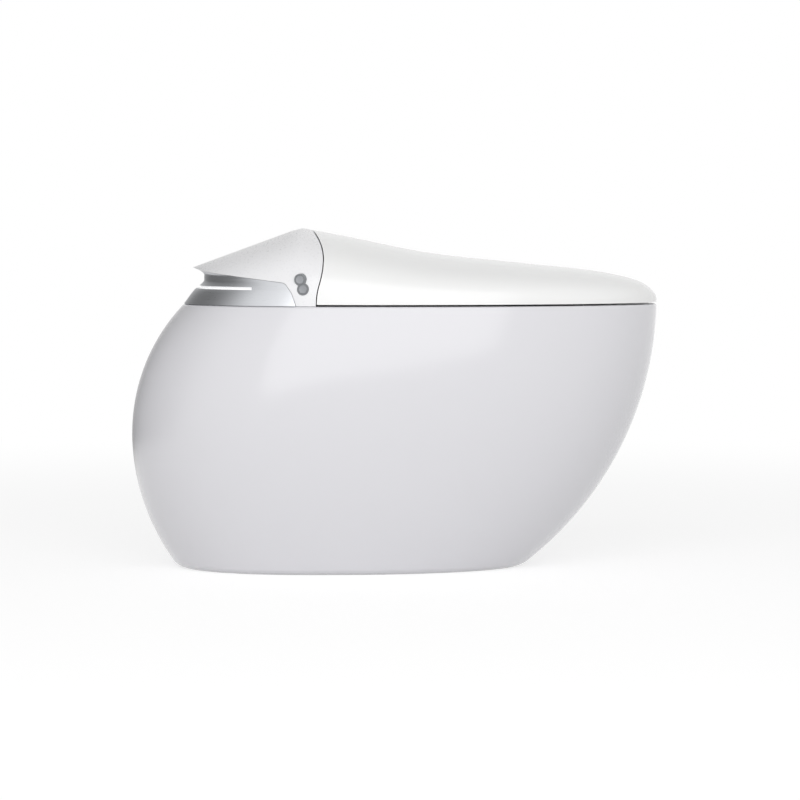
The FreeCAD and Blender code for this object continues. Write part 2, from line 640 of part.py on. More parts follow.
def build_hoses(low, middle):
    """Hoses from the valve to the rim jet, the siphon jet and the heater."""
    rim_start = -D.valve_front + D.spigot_length
    jet_height = RIM - D.rim_jet_drop
    hose("rim_hose", [
        (rim_start, D.rim_hose_offset, middle), (-D.rim_hose_setback, D.rim_hose_offset, middle),
        (-D.rim_hose_setback, D.rim_jet_offset, middle), (-D.rim_hose_setback, D.rim_jet_offset, jet_height),
        (-D.rim_jet_back, D.rim_jet_offset, jet_height),
    ], D.hose_radius)
    run = D.jet_run_height
    hose("jet_hose", [
        (-D.jet_hose_setback, -D.jet_hose_offset, low - D.spigot_length),
        (-D.jet_hose_setback, -D.jet_hose_offset, run), (-D.jet_hose_setback, -D.jet_run_offset, run),
        (JET_PLACE, -D.jet_run_offset, run), (JET_PLACE, -D.siphon_jet_outer, run),
    ], D.hose_radius)
    hose("wash_hose", [
        (-D.wash_hose_setback, D.valve_half_width, middle),
        (-D.wash_hose_setback, WASH_HOSE_PLACE, middle),
        (-D.wash_hose_setback, WASH_HOSE_PLACE, RIM + D.wash_hose_rise),
        (-D.heater_back, WASH_HOSE_PLACE, RIM + D.wash_hose_rise),
    ], D.wash_hose_radius)
    bore = D.hose_radius - D.hose_wall
    rim_at = (-D.rim_jet_back, D.rim_jet_offset, jet_height)
    keep(carve("rim_jet", rod("rim_jet_body", D.hose_radius, D.rim_jet_length, rim_at, "x"),
               rod("rim_jet_bore", bore, D.rim_jet_length, rim_at, "x")), "rim_jet")
    siphon_at = (JET_PLACE, -D.siphon_jet_outer, run)
    keep(carve("siphon_jet", rod("siphon_jet_body", D.hose_radius, D.siphon_jet_length, siphon_at, "y"),
               rod("siphon_jet_bore", bore, D.siphon_jet_length, siphon_at, "y")), "siphon_jet")


def build_tray():
    """The plate that carries the rear unit, and the bolts that hold it to the deck."""
    face = Part.Face(china_oval(float(RIM), float(D.tray_inset)))
    sheet = form("tray_sheet", face.extrude(Vector(0, 0, float(D.tray_thickness))))
    front = -D.nose_front - D.cover_wall - D.tray_front_gap
    behind = block("tray_limit", (-FAR, front), (-FAR, FAR), (RIM - D.overrun, RIM + D.overrun))
    bay = block("tray_bay", (-D.tray_bay_back, 0), (-D.tray_bay_half, D.tray_bay_half),
                (RIM - D.overrun, RIM + D.overrun))
    tools = [bay, rod("tray_hose_hole", D.wash_hose_radius + D.seat_clearance, D.overrun,
                      (-D.wash_hose_setback, WASH_HOSE_PLACE, RIM - D.overrun / 2))]
    bolts = []
    for index, (along, across) in enumerate(bolt_places()):
        tools.append(rod(f"tray_bolt_hole_{index}", D.bolt_radius + D.seat_clearance, D.overrun,
                         (along, across, RIM - D.overrun / 2)))
        shank = rod(f"bolt_shank_{index}", D.bolt_radius, D.bolt_length,
                    (along, across, TRAY_TOP - D.bolt_length))
        head = rod(f"bolt_head_{index}", D.bolt_head, D.bolt_head_height, (along, across, TRAY_TOP))
        nut = rod(f"bolt_nut_{index}", D.bolt_head, D.bolt_nut_height,
                  (along, across, RIM - D.deck_thickness - D.bolt_nut_height))
        bolts.append(join(f"bolt_{index}", shank, head, nut))
    keep(carve("base_tray", overlap("tray_plate", sheet, behind), *tools), "base_tray")
    keep(group("tray_bolts", *bolts), "tray_bolts")


def lid_top(place):
    """Height of the lid's top line above the rim at a place, eased between its named points."""
    start = -float(D.peak_back)
    share = (place - start) / (float(FRONT) - start)
    rows = LID_PROFILE_SHARES
    index = max(0, min(len(rows) - 2, sum(row[0] <= share for row in rows) - 1))
    slopes = []
    for k in (index, index + 1):
        before, after = rows[max(0, k - 1)], rows[min(len(rows) - 1, k + 1)]
        slopes.append((after[1] - before[1]) / (after[0] - before[0]))
    (left, low), (right, high) = rows[index], rows[index + 1]
    width = right - left
    part = (share - left) / width
    eased = ((1 + 2 * part) * (1 - part) ** 2 * low + part * (1 - part) ** 2 * width * slopes[0]
             + part ** 2 * (3 - 2 * part) * high + part ** 2 * (part - 1) * width * slopes[1])
    return eased * float(D.peak_rise)


def cover_top(place):
    """Height of the rear cover's sloping top above the rim at a place."""
    peak = -float(D.peak_back)
    if place > peak:
        return lid_top(place)
    share = (peak - place) / (float(COVER_BACK) + peak)
    return float(D.peak_rise) + share * float(D.lip_rise - D.peak_rise)


def cover_plan(inset):
    """Back end, front end, half width and widest place of the rear cover's plan, moved in."""
    front, side = china_limits(float(RIM))[1:]
    back = -float(COVER_BACK) + inset
    middle = back + (front - back) * float(D.widest_share)
    return back, front, side - float(D.cover_side_inset) - inset, middle


def cover_turn():
    """The angle round the plan's rounded back end that takes the cover's skin past its nose."""
    back, front, side, middle = cover_plan(0)
    end = float(D.nose_radius + D.skin_reach - D.hinge_back)
    return math.acos((middle - end) / (middle - back))


def cover_side(place, rise):
    """Half the rear cover's width at a place along it and a rise above the rim."""
    back, front, side, middle = cover_plan(0)
    base, power = float(D.crown_base), float(D.crown_round_share)
    up = ((rise - base) / (cover_top(place) - base)) ** (1 / power)
    return oval_half_width(place, back, front, side) * (1 - up ** 2) ** (power / 2)


def cover_form(inset, sink):
    """The rear cover's outside, or its hollow when inset; its sides are sunk below the dome."""
    back, front, side, middle = cover_plan(inset)
    turn = cover_turn()
    rim = float(RIM)
    wires = []
    for share in COVER_TURN_SHARES:
        place = middle - (middle - back) * math.cos(share * turn)
        half = oval_half_width(place, back, front, side)
        wires.append(crown(place, half, rim + float(D.crown_base), rim + cover_top(place) - inset, sink))
    return skin(wires)


def nose_limit(name, inset):
    """All that lies behind the lid's seam: a round nose about the hinge, and what is under and behind it."""
    hinge = -D.hinge_back
    nose = rod(f"{name}_nose", D.nose_radius - inset, FAR + FAR, (hinge, -FAR, HINGE_HEIGHT), "y")
    front = hinge + D.nose_radius - inset
    setback = D.nose_front - D.hinge_back + D.nose_radius
    low = RIM - D.overrun
    outline = [(-FAR, low), (front - setback, low)]
    outline += [(front - setback * back, HINGE_HEIGHT - D.hinge_rise * down) for down, back in SEAM_SHARES]
    under = side_pad(f"{name}_under", outline + [(-FAR, HINGE_HEIGHT)], FAR + FAR)
    behind = block(f"{name}_behind", (-FAR, hinge), (-FAR, FAR), (0, RIM + FAR))
    return join(name, nose, under, behind)


def band_bay(name, gap):
    """The space under the cover's lip that the trim band fills."""
    rim = RIM - gap
    outline = [
        (-D.bay_front - gap, RIM - D.overrun), (-D.bay_front - gap, rim),
        (-D.bay_knee_back - gap, rim + D.bay_knee_rise),
        (-D.bay_shoulder_back - gap, rim + D.bay_shoulder_rise),
        (D.bay_rear_inset - COVER_BACK, rim + D.bay_rear_rise), (-COVER_BACK, rim + D.bay_lip_rise),
        (-FAR, rim + D.bay_lip_rise), (-FAR, RIM - D.overrun),
    ]
    return side_pad(name, outline, FAR)


def build_cover():
    """The white rear cover with its nose, hinge slots, nozzle mouth and button hole."""
    outside = overlap("cover_outside", form("cover_skin", cover_form(0, float(D.crown_base - D.cover_gap))),
                      nose_limit("cover_limit", 0))
    hollow = overlap("cover_hollow", form("cover_space", cover_form(float(D.cover_wall), float(D.overrun))),
                     nose_limit("cover_hollow_limit", D.cover_wall))
    tools = [hollow, band_bay("cover_bay", 0)]
    for side in (1, -1):
        across = span(side, D.slot_half_low - D.arm_gap, D.slot_half_high + D.arm_gap)
        tools.append(block(f"hinge_slot_{side}", (-D.slot_back, 0), across,
                           (RIM - D.overrun, RIM + D.slot_mid_rise)))
        tools.append(block(f"hinge_slot_top_{side}", (-D.slot_top_back, 0), across,
                           (RIM + D.slot_mid_rise - D.overrun, RIM + D.slot_top_rise)))
    tools.append(block("nozzle_mouth", (-D.nose_front - D.overrun, 0),
                       (-D.mouth_half_width, D.mouth_half_width), (RIM - D.overrun, RIM + D.mouth_rise)))
    holes = button_rods("button_hole", D.button_hole_radius, -D.button_pocket, D.button_pocket)
    tools.append(face_button(join("button_holes", *holes)))
    keep(carve("rear_cover", outside, *tools), "rear_cover")


def band_form(inset):
    """The trim band's outside, or a parallel form further in."""
    back, front, side = china_limits(float(RIM))
    wires = []
    for rise, deep in BAND_SHARES:
        recess = deep * float(D.band_recess) + inset
        aside = deep * float(D.band_recess * D.band_side_share) + inset
        height = float(RIM + D.band_gap) + rise * float(D.band_height)
        wires.append(oval(back + recess, front - recess, side - aside, height))
    return Part.makeLoft(wires, True, True)


def band_shell(name, outer_inset, inner_inset):
    """A thin wall that follows the recess under the lip."""
    outer = form(f"{name}_outer", band_form(float(outer_inset)))
    inner = form(f"{name}_inner", band_form(float(inner_inset)))
    return carve(f"{name}_wall", outer, inner)


def build_band():
    """The silver trim band with its slit, and the white strip that shows through the slit."""
    wall = band_shell("band", 0, D.band_wall)
    slit = block("band_slit", (-FAR, -D.slit_front), (-FAR, FAR), (RIM + D.slit_low, RIM + D.slit_high))
    part = overlap("band_part", wall, band_bay("band_limit", D.band_gap))
    keep(carve("trim_band", part, slit), "trim_band")
    start = D.band_wall + D.seat_clearance
    strip = band_shell("strip", start, start + D.strip_wall)
    limit = block("strip_limit", (-FAR, -D.slit_front + D.strip_high - D.strip_low), (-FAR, FAR),
                  (RIM + D.strip_low, RIM + D.strip_high))
    keep(overlap("slit_strip", strip, limit), "slit_strip")


def hinge_bore(name):
    """A running bore along the whole hinge line."""
    radius = D.pin_radius + D.running_clearance
    return rod(name, radius, FAR + FAR, (-D.hinge_back, -FAR, HINGE_HEIGHT), "y")


def build_brackets():
    """Two U-shaped brackets that carry the hinge line."""
    top = HINGE_HEIGHT + D.bracket_top
    inner = D.slot_half_low - D.cheek
    outer = D.slot_half_high + D.cheek
    web_front = -D.bracket_back + D.bracket_web
    for side, label in ((1, "hinge_bracket_left"), (-1, "hinge_bracket_right")):
        along = (-D.bracket_back, -D.bracket_front)
        parts = [
            block(f"{label}_near", along, span(side, inner, D.slot_half_low), (RIM + D.bracket_low, top)),
            block(f"{label}_far", along, span(side, D.slot_half_high, outer), (RIM + D.bracket_low, top)),
            block(f"{label}_web", (-D.bracket_back, web_front), span(side, inner, outer), (TRAY_TOP, top)),
            block(f"{label}_foot", (-D.bracket_foot, web_front), span(side, inner, outer),
                  (TRAY_TOP, TRAY_TOP + D.bracket_foot_height)),
        ]
        keep(carve(label, join(f"{label}_solid", *parts), hinge_bore(f"{label}_bore")), label)


def hinge_pin(label, side, start, inward, reach, head_radius, head_length):
    """A pin on the hinge line with a head or a damper body on one end, seated on a cheek."""
    back = -head_length
    profile = [
        (0, back), (head_radius, back), (head_radius, 0),
        (D.pin_radius, 0), (D.pin_radius, reach), (0, reach),
    ]
    along = "y" if side * inward > 0 else "-y"
    across = start if side > 0 else -start
    keep(turned(label, profile, (-D.hinge_back, across, HINGE_HEIGHT), along), label)


def build_pins():
    """Dampers and plain pins: the seat's from inside the brackets, the lid's from outside."""
    near = D.slot_half_low - D.cheek
    far = D.slot_half_high + D.cheek
    reach = D.cheek + D.arm_width
    hinge_pin("seat_pin", 1, near, 1, reach, D.pin_head, D.pin_head_length)
    hinge_pin("seat_damper", -1, near, 1, reach, D.damper_radius, D.seat_damper_length)
    hinge_pin("lid_damper", 1, far, -1, reach, D.damper_radius, D.damper_length)
    hinge_pin("lid_pin", -1, far, -1, reach, D.pin_head, D.pin_head_length)


def wand_offsets():
    return (("rear", D.wand_near), ("front", D.wand_far))


def build_carrier():
    """The sloping guide for both wands, its legs on the tray, and the shield at its mouth."""
    body = block("carrier_block", (-D.carrier_tail, -D.carrier_nose), (0, D.carrier_width),
                 (-D.carrier_low, D.carrier_high))
    tools = [rod("stepper_saddle", D.stepper_radius + D.seat_clearance, FAR,
                 (-D.pinion_back, -HALF, D.pinion_rise), "y")]
    holes = []
    for name, across in wand_offsets():
        tools.append(rod(f"{name}_guide", D.wand_radius + D.wand_play, D.carrier_tail + D.overrun,
                         (-D.carrier_tail - D.overrun / 2, across, 0), "x"))
        half = D.rack_width / 2 + D.rack_slot_play
        tools.append(block(f"{name}_rack_slot", (-D.carrier_tail - D.overrun, D.overrun),
                           (across - half, across + half), (0, D.carrier_high + D.overrun)))
        holes.append(rod(f"{name}_shield_hole", D.wand_radius + D.rack_slot_play, D.overrun,
                         (-D.carrier_nose - D.overrun / 2, across, 0), "x"))
        holes.append(block(f"{name}_shield_slot", (-D.carrier_nose - D.overrun, D.overrun),
                           (across - half, across + half), (0, D.rack_tip + D.rack_slot_play)))
    guide = tilt(carve("carrier_guide", body, *tools))
    legs = []
    between = (D.wand_near + D.wand_far) / 2
    for index, across in enumerate((D.carrier_leg_width / 2, between, D.carrier_width - D.carrier_leg_width)):
        legs.append(block(f"carrier_leg_{index}", (-D.carrier_leg_back, -D.carrier_leg_front),
                          (across - D.carrier_leg_width / 2, across + D.carrier_leg_width / 2),
                          (TRAY_TOP, RIM + D.carrier_leg_rise)))
    keep(join("nozzle_carrier", guide, *legs), "nozzle_carrier")
    face = -D.carrier_nose + D.seat_clearance
    plate = block("shield_plate", (face, face + D.shield_thickness),
                  (-D.shield_margin, D.carrier_width + D.shield_margin),
                  (-D.shield_half_height, D.shield_half_height))
    keep(tilt(carve("nozzle_shield", plate, *holes)), "nozzle_shield")


def rack_form():
    """A straight rack with a gap under the pinion, along the wand's top."""
    pitch = float(D.tooth_pitch)
    root, tip, low = float(D.rack_root), float(D.rack_tip), float(D.rack_low)
    wide = pitch * float(D.tooth_share) / 2
    thin = pitch * float(D.tooth_tip_share) / 2
    first = math.ceil((float(D.pinion_back) - float(D.rack_tail)) / pitch)
    last = math.floor((float(D.pinion_back) - float(D.rack_nose)) / pitch)
    half = float(D.rack_width) / 2
    points = [Vector(-float(D.rack_tail), -half, low), Vector(-float(D.rack_tail), -half, root)]
    for step in range(first, last):
        middle = -float(D.pinion_back) + (step + 0.5) * pitch
        for offset, height in ((-wide, root), (-thin, tip), (thin, tip), (wide, root)):
            points.append(Vector(middle + offset, -half, height))
    points += [Vector(-float(D.rack_nose), -half, root), Vector(-float(D.rack_nose), -half, low)]
    return Part.Face(Part.makePolygon(points + points[:1])).extrude(Vector(0, 2 * half, 0))


def pinion_form():
    """A small spur gear whose first tooth points down at the rack."""
    step = 2 * math.pi / PINION_TEETH
    root, tip = float(D.pinion_root_radius), float(D.pinion_tip_radius)
    wide = step * float(D.tooth_share) / 2
    thin = step * float(D.tooth_tip_share) / 2
    half = float(D.pinion_width) / 2
    points = []
    for tooth in range(PINION_TEETH):
        middle = -math.pi / 2 + tooth * step
        for offset, radius in ((-wide, root), (-thin, tip), (thin, tip), (wide, root)):
            angle = middle + offset
            points.append(Vector(radius * math.cos(angle), -half, radius * math.sin(angle)))
    return Part.Face(Part.makePolygon(points + points[:1])).extrude(Vector(0, 2 * half, 0))


def build_wands():
    """Both wash wands with their racks, pinions and stepper motors."""
    for name, across in wand_offsets():
        label = f"{name}_wash_wand"
        stem = rod(f"{label}_stem", D.wand_radius, D.wand_tail - D.wand_shoulder,
                   (-D.wand_tail, across, 0), "x")
        tip = cone(f"{label}_tip", D.wand_radius, D.wand_tip_radius, D.wand_shoulder - D.wand_tip,
                   (-D.wand_shoulder, across, 0), "x")
        rack = locate(form(f"{label}_rack", rack_form()), (0, across, 0))
        holes = []
        for index in (0, 1, 2):
            holes.append(rod(f"{label}_jet_{index}", D.jet_hole, D.wand_radius + D.overrun,
                             (-D.jet_hole_back - D.jet_hole_pitch * index, across, 0)))
        keep(tilt(carve(label, join(f"{label}_solid", stem, tip, rack), *holes)), label)
        label = f"{name}_wand_pinion"
        gear = form(f"{label}_gear", pinion_form())
        bore = rod(f"{label}_bore", D.pinion_bore, FAR, (0, -HALF, 0), "y")
        spot = locate(carve(f"{label}_drilled", gear, bore), (-D.pinion_back, across, D.pinion_rise))
        keep(tilt(group(label, spot)), label)
        label = f"{name}_wand_motor"
        end = across - D.pinion_width / 2 - D.stepper_gap
        can = rod(f"{label}_can", D.stepper_radius, D.stepper_length,
                  (-D.pinion_back, end - D.stepper_length, D.pinion_rise), "y")
        shaft = rod(f"{label}_shaft", D.stepper_shaft, D.stepper_shaft_length,
                    (-D.pinion_back, end, D.pinion_rise), "y")
        keep(tilt(join(label, can, shaft)), label)


def build_dryer():
    """The warm-air fan with its duct, motor, wheel and outlet flap, parallel to the wands."""
    centre = (-D.fan_setback, -D.fan_offset)
    half = D.duct_half_height
    inner = half - D.duct_wall
    volute = rod("volute", D.volute_radius, half + half, (*centre, -half))
    duct = block("duct", (-D.fan_setback, -D.duct_nose),
                 (-D.duct_low_offset, -D.duct_high_offset), (-half, half))
    tools = [
        rod("volute_space", D.volute_radius - D.duct_wall, inner + inner, (*centre, -inner)),
        block("duct_space", (-D.fan_setback, D.overrun),
              (-D.duct_low_offset + D.duct_wall, -D.duct_high_offset - D.duct_wall), (-inner, inner)),
        rod("fan_inlet_hole", D.fan_inlet, half, (*centre, -half - D.duct_wall)),
        rod("fan_shaft_hole", D.fan_shaft + D.fan_shaft_play, half + half, (*centre, 0)),
        rod("flap_pin_holes", D.flap_pin + D.running_clearance, FAR,
            (-D.flap_back, -HALF, D.flap_axis_rise), "y"),
    ]
    casing = tilt(carve("dryer_casing", join("dryer_solid", volute, duct), *tools))
    legs = []
    for index, across in enumerate((-D.fan_leg_near, -D.fan_leg_far)):
        legs.append(block(f"fan_leg_{index}", (-D.fan_leg_back, -D.fan_leg_front),
                          (across - D.fan_leg_width, across), (TRAY_TOP, RIM + D.fan_leg_rise)))
    keep(join("dryer_housing", casing, *legs), "dryer_housing")
    build_fan_wheel(centre)
    can = rod("fan_motor_can", D.fan_motor_radius, D.fan_motor_length, (*centre, half))
    shaft = rod("fan_motor_shaft", D.fan_shaft, half + D.wheel_half_height, (*centre, -D.wheel_half_height))
    keep(tilt(join("dryer_motor", can, shaft)), "dryer_motor")
    side_low = -D.duct_low_offset + D.duct_wall + D.flap_play
    side_high = -D.duct_high_offset - D.duct_wall - D.flap_play
    leaf = block("flap_leaf", (-D.flap_back - D.flap_thickness / 2, -D.flap_back + D.flap_thickness / 2),
                 (side_low, side_high), (-D.flap_low, D.flap_high))
    pin = rod("flap_pin_bar", D.flap_pin, side_high - side_low + D.flap_pin_length + D.flap_pin_length,
              (-D.flap_back, side_low - D.flap_pin_length, D.flap_axis_rise), "y")
    keep(tilt(join("dryer_flap", leaf, pin)), "dryer_flap")


def build_fan_wheel(centre):
    """The dryer's blower wheel: hub, back plate and straight blades."""
    height = D.wheel_half_height
    hub = rod("wheel_hub", D.wheel_hub, height + height, (0, 0, -height))
    plate = rod("wheel_plate", D.wheel_radius, D.wheel_plate, (0, 0, height - D.wheel_plate))
    parts = [hub, plate]
    for index in range(WHEEL_BLADES):
        blade = block(f"wheel_blade_{index}", (D.blade_start, D.wheel_radius - D.flap_play),
                      (-D.blade_thickness / 2, D.blade_thickness / 2), (-height, height))
        turn = Rotation(Vector(0, 0, 1), 4 * QUARTER_TURN * index / WHEEL_BLADES)
        holder = group(f"wheel_blade_set_{index}", blade)
        holder.Placement = Placement(Vector(), turn)
        parts.append(holder)
    bore = rod("wheel_bore", D.fan_shaft + D.running_clearance, FAR, (0, 0, -HALF))
    wheel = locate(carve("wheel_solid", join("wheel_parts", *parts), bore), (*centre, 0))
    keep(tilt(group("dryer_wheel", wheel)), "dryer_wheel")


def build_electrics():
    """Heater, power supply and control board on the tray."""
    heater_far = HALF_WIDTH - D.heater_inset
    keep(block("water_heater", (-D.heater_back, -D.heater_front), (heater_far - D.heater_width, heater_far),
               (TRAY_TOP, RIM + D.heater_rise)), "water_heater")
    keep(block("power_supply", (-D.supply_back, -D.supply_front), (D.supply_near, D.supply_far),
               (TRAY_TOP, RIM + D.supply_rise)), "power_supply")
    low = RIM + D.board_rise
    high = low + D.board_thickness
    parts = [block("board_sheet", (-D.board_back, -D.board_front), (-D.board_far, -D.board_near),
                   (low, high))]
    for along in (-D.board_back + D.board_post_inset, -D.board_front - D.board_post_inset):
        for across in (-D.board_far + D.board_post_inset, -D.board_near - D.board_post_inset):
            parts.append(rod(f"board_post_{len(parts)}", D.board_post, low - TRAY_TOP,
                             (along, across, TRAY_TOP)))
    start = -D.board_back + D.board_post_inset + D.board_post_inset
    end = start + D.chip_length
    side = -D.board_far + D.board_post_inset + D.board_post
    middle = side + D.chip_width
    parts.append(block("board_chip", (start, end), (side, middle), (high, high + D.chip_height)))
    parts.append(block("board_relay", (end + D.board_post, end + D.chip_width),
                       (middle, middle + D.chip_width), (high, high + D.relay_height)))
    keep(join("control_board", *parts), "control_board")


def button_rods(name, radius, low, high):
    """Two rods side by side in the buttons' own frame, out of the cover's side."""
    upper = rod(f"{name}_upper", radius, high - low, (0, D.button_half_pitch, low))
    lower = rod(f"{name}_lower", radius, high - low, (0, -D.button_half_pitch, low))
    return upper, lower


def face_button(thing):
    """Moves a thing from the buttons' own frame onto the cover's right side."""
    roll = Rotation(Vector(0, 0, 1), float(D.button_roll_angle))
    yaw = Rotation(Vector(0, 0, 1), -float(D.button_yaw_angle))
    thing.Placement = Placement(Vector(), yaw.multiply(TURN["-y"]).multiply(roll))
    side = cover_side(-float(D.button_back), float(D.button_rise))
    return locate(thing, (-D.button_back, -D.button_lift - side, RIM + D.button_rise))


def build_buttons():
    """The figure-of-eight bezel, its two push buttons and the switch board behind them."""
    bezel = join("bezel_solid", *button_rods("bezel_post", D.bezel_radius, -D.bezel_depth, D.bezel_proud))
    holes = button_rods("bezel_hole", D.button_radius + D.button_play, -D.bezel_depth - D.overrun, D.overrun)
    keep(face_button(carve("button_bezel", bezel, *holes)), "button_bezel")
    caps = button_rods("button_cap", D.button_radius, -D.button_depth, D.button_proud)
    for label, cap in zip(("flush_button", "stop_button"), caps):
        keep(face_button(group(label, cap)), label)
    back = -D.bezel_depth
    sheet = block("switch_sheet", (-D.switch_board_half, D.switch_board_half),
                  (-D.switch_board_rise, D.switch_board_rise), (back - D.board_thickness, back))
    switches = button_rods("switch", D.switch_radius, back, back + D.switch_height)
    keep(face_button(join("button_board", sheet, *switches)), "button_board")


def lid_form(inset, sink):
    """The lid's outside, or a parallel form further in."""
    back, front, side = china_limits(float(RIM))
    start = -float(D.peak_back)
    end = front - inset
    side -= float(D.cover_side_inset) + inset
    bottom = float(RIM + D.crown_base)
    wires = []
    for share in LID_SECTION_SHARES:
        place = start + share * (end - start)
        top = float(RIM) + lid_top(start + share * (front - start)) - inset
        wires.append(crown(place, oval_half_width(place, back, end, side), bottom, top, sink))
    return skin(wires)


def hinge_arm(name, side, near, front, extra=()):
    """An L-shaped arm from the hinge line down and forward under the nose."""
    across = span(side, near, near + D.arm_width)
    leg = (-D.hinge_back - D.arm_half_leg, -D.hinge_back + D.arm_half_leg)
    parts = [
        rod(f"{name}_hub", D.arm_hub, D.arm_width, (-D.hinge_back, across[0], HINGE_HEIGHT), "y"),
        block(f"{name}_leg", leg, across, (RIM + D.arm_low, HINGE_HEIGHT)),
        block(f"{name}_foot", (leg[0], -front), across, (RIM + D.arm_low, RIM + D.arm_high)),
    ]
    for low, high, rise in extra:
        parts.append(block(f"{name}_riser", (low, high), across, (RIM + D.arm_low, RIM + rise)))
    return join(name, *parts)


def build_lid():
    """The lid's outer shell, its liner with the hinge arms, and the liner's bumpers."""
    gap = D.seam_gap
    edge = float(D.crown_base - D.lid_gap)
    outside = form("lid_skin", lid_form(0, edge))
    inside = form("lid_space", lid_form(float(D.lid_wall), float(D.overrun)))
    keep(carve("lid_shell", outside, inside, nose_limit("lid_seam", -gap)), "lid_shell")
    first = D.lid_wall + D.liner_gap
    second = first + D.liner_wall
    skin_out = form("liner_skin", lid_form(float(first), edge))
    space = form("liner_space", lid_form(float(second), float(D.overrun)))
    cavity = carve("liner_cavity", space, nose_limit("liner_back", -gap - D.liner_wall))
    notch = block("liner_notch", (-FAR, 0), (-D.tray_bay_half, D.tray_bay_half),
                  (0, RIM + D.liner_notch_rise))
    dome = carve("liner_dome", skin_out, nose_limit("liner_seam", -gap), cavity, notch)
    near = D.slot_half_low + D.arm_gap + D.arm_width + D.arm_gap + D.arm_gap
    wall = (-D.nose_front + D.lid_arm_gap, -D.lid_arm_front)
    arms = []
    for side in (1, -1):
        arms.append(hinge_arm(f"lid_arm_{side}", side, near, D.lid_arm_front, [(*wall, D.lid_arm_rise)]))
    keep(carve("lid_liner", join("liner_solid", dome, *arms), hinge_bore("liner_bore")), "lid_liner")
    posts = []
    for index, (along, across) in enumerate(((FRONT - D.lid_bumper_margin, HALF_WIDTH - D.lid_bumper_inset),
                                             (D.lid_bumper_rear, HALF_WIDTH - D.lid_bumper_rear_inset))):
        for side in (1, -1):
            post = rod(f"lid_post_{index}_{side}", D.bumper_radius, D.lid_bumper_height,
                       (along, across * side, RIM + D.seat_top_rise + D.seat_clearance))
            roof = form(f"lid_post_roof_{index}_{side}", lid_form(float(second), float(D.overrun)))
            posts.append(overlap(f"lid_bumper_{index}_{side}", post, roof))
    keep(group("lid_bumpers", *posts), "lid_bumpers")


def seat_outline(name, rows, back):
    """A solid through outlines parallel to the rim, cut square at the back; rows are insets and heights."""
    rim_back, rim_front, rim_side = china_limits(float(RIM))
    wires = []
    for extra, rise in rows:
        inset = float(D.seat_inset) + float(extra)
        wires.append(oval(rim_back + inset, rim_front - inset, rim_side - inset, float(RIM + rise)))
    limit = block(f"{name}_limit", (-back, FAR), (-FAR, FAR), (0, FAR))
    return overlap(name, form(f"{name}_oval", Part.makeLoft(wires, True, True)), limit)


def hole_form(rows):
    """The seat's opening, widened by an inset of its own at each height above the rim."""
    wires = []
    for widen, rise in rows:
        wires.append(oval(float(D.hole_back) - float(widen), float(FRONT - D.hole_margin) + float(widen),
                          float(D.hole_half_width) + float(widen), float(RIM + rise)))
    return Part.makeLoft(wires, True, True)


def arm_pockets(name):
    """Room in the seat's upper half for the roots of the hinge arms."""
    pockets = []
    along = (-D.seat_back - D.overrun, -D.seat_arm_front + D.seat_clearance)
    for side in (1, -1):
        across = span(side, D.slot_half_low, D.slot_half_low + D.arm_width + D.arm_gap + D.arm_gap)
        pockets.append(block(f"{name}_{side}", along, across, (RIM, RIM + D.arm_high + D.seat_clearance)))
    return pockets


def build_seat():
    """The ring in two halves with a heater film between, hinge arms and bumpers."""
    low, split, top = D.seat_rise, D.seat_split, D.seat_top_rise
    ease = D.seat_edge_round
    third = ease / 3
    lower = seat_outline("seat_lower", [(third, low), (0, low + third), (0, split)], D.seat_back)
    lower_rows = [(third, low - D.overrun), (0, low + third), (0, split + D.overrun)]
    lower_hole = form("seat_lower_hole", hole_form(lower_rows))
    arms = []
    for side in (1, -1):
        arms.append(hinge_arm(f"seat_arm_{side}", side, D.slot_half_low + D.arm_gap, D.seat_arm_front))
    ring = carve("seat_base_ring", lower, lower_hole)
    keep(carve("seat_base", join("seat_base_solid", ring, *arms), hinge_bore("seat_bore")), "seat_base")
    upper_rows = [(0, split), (0, top - ease), (third, top - third), (ease, top)]
    upper = seat_outline("seat_upper", upper_rows, D.seat_back)
    upper_hole = form("seat_upper_hole", hole_form(upper_rows))
    film_top = split + D.film_height
    inset = D.film_inset
    groove_rows = [(inset, split), (inset, film_top + D.film_play)]
    groove = carve("film_groove", seat_outline("groove_ring", groove_rows, D.seat_back - inset),
                   form("groove_core", hole_form(groove_rows)))
    keep(carve("seat_top", upper, upper_hole, groove, *arm_pockets("seat_arm_pocket")), "seat_top")
    narrow = inset + D.film_play
    film_rows = [(narrow, split), (narrow, film_top)]
    film = carve("film_ring", seat_outline("film_outer", film_rows, D.seat_back - narrow),
                 form("film_core", hole_form(film_rows)))
    keep(carve("seat_heater", film, *arm_pockets("film_arm_pocket")), "seat_heater")
    feet = []
    places = ((FRONT - D.seat_bumper_margin, HALF_WIDTH - D.seat_bumper_inset),
              (D.seat_bumper_rear, HALF_WIDTH - D.seat_bumper_rear_inset))
    for along, across in places:
        for side in (1, -1):
            feet.append(rod(f"seat_foot_{len(feet)}", D.bumper_radius, D.seat_bumper_height,
                            (along, across * side, RIM + D.seat_rise - D.seat_bumper_height)))
    keep(group("seat_bumpers", *feet), "seat_bumpers")


def write_pieces():
    """Checks every sub-part and writes one STEP file for each."""
    DOC.recompute()
    os.makedirs("parts", exist_ok=True)
    for thing in DOC.Objects:
        if "Invalid" in thing.State or "Error" in thing.State:
            raise RuntimeError(f"{thing.Label} is not sound: {thing.State}")
    for piece in PIECES:
        shape = piece.Shape
        if shape.isNull() or not shape.isValid() or not shape.Solids:
            raise RuntimeError(f"{piece.Label} has no sound shape")
        shape.exportStep(f"parts/{piece.Label}.step")


build_china()
build_outlet()
build_flush()
build_tray()
build_cover()
build_band()
build_brackets()
build_pins()
build_carrier()
build_wands()
build_dryer()
build_electrics()
build_buttons()
build_lid()
build_seat()
write_pieces()
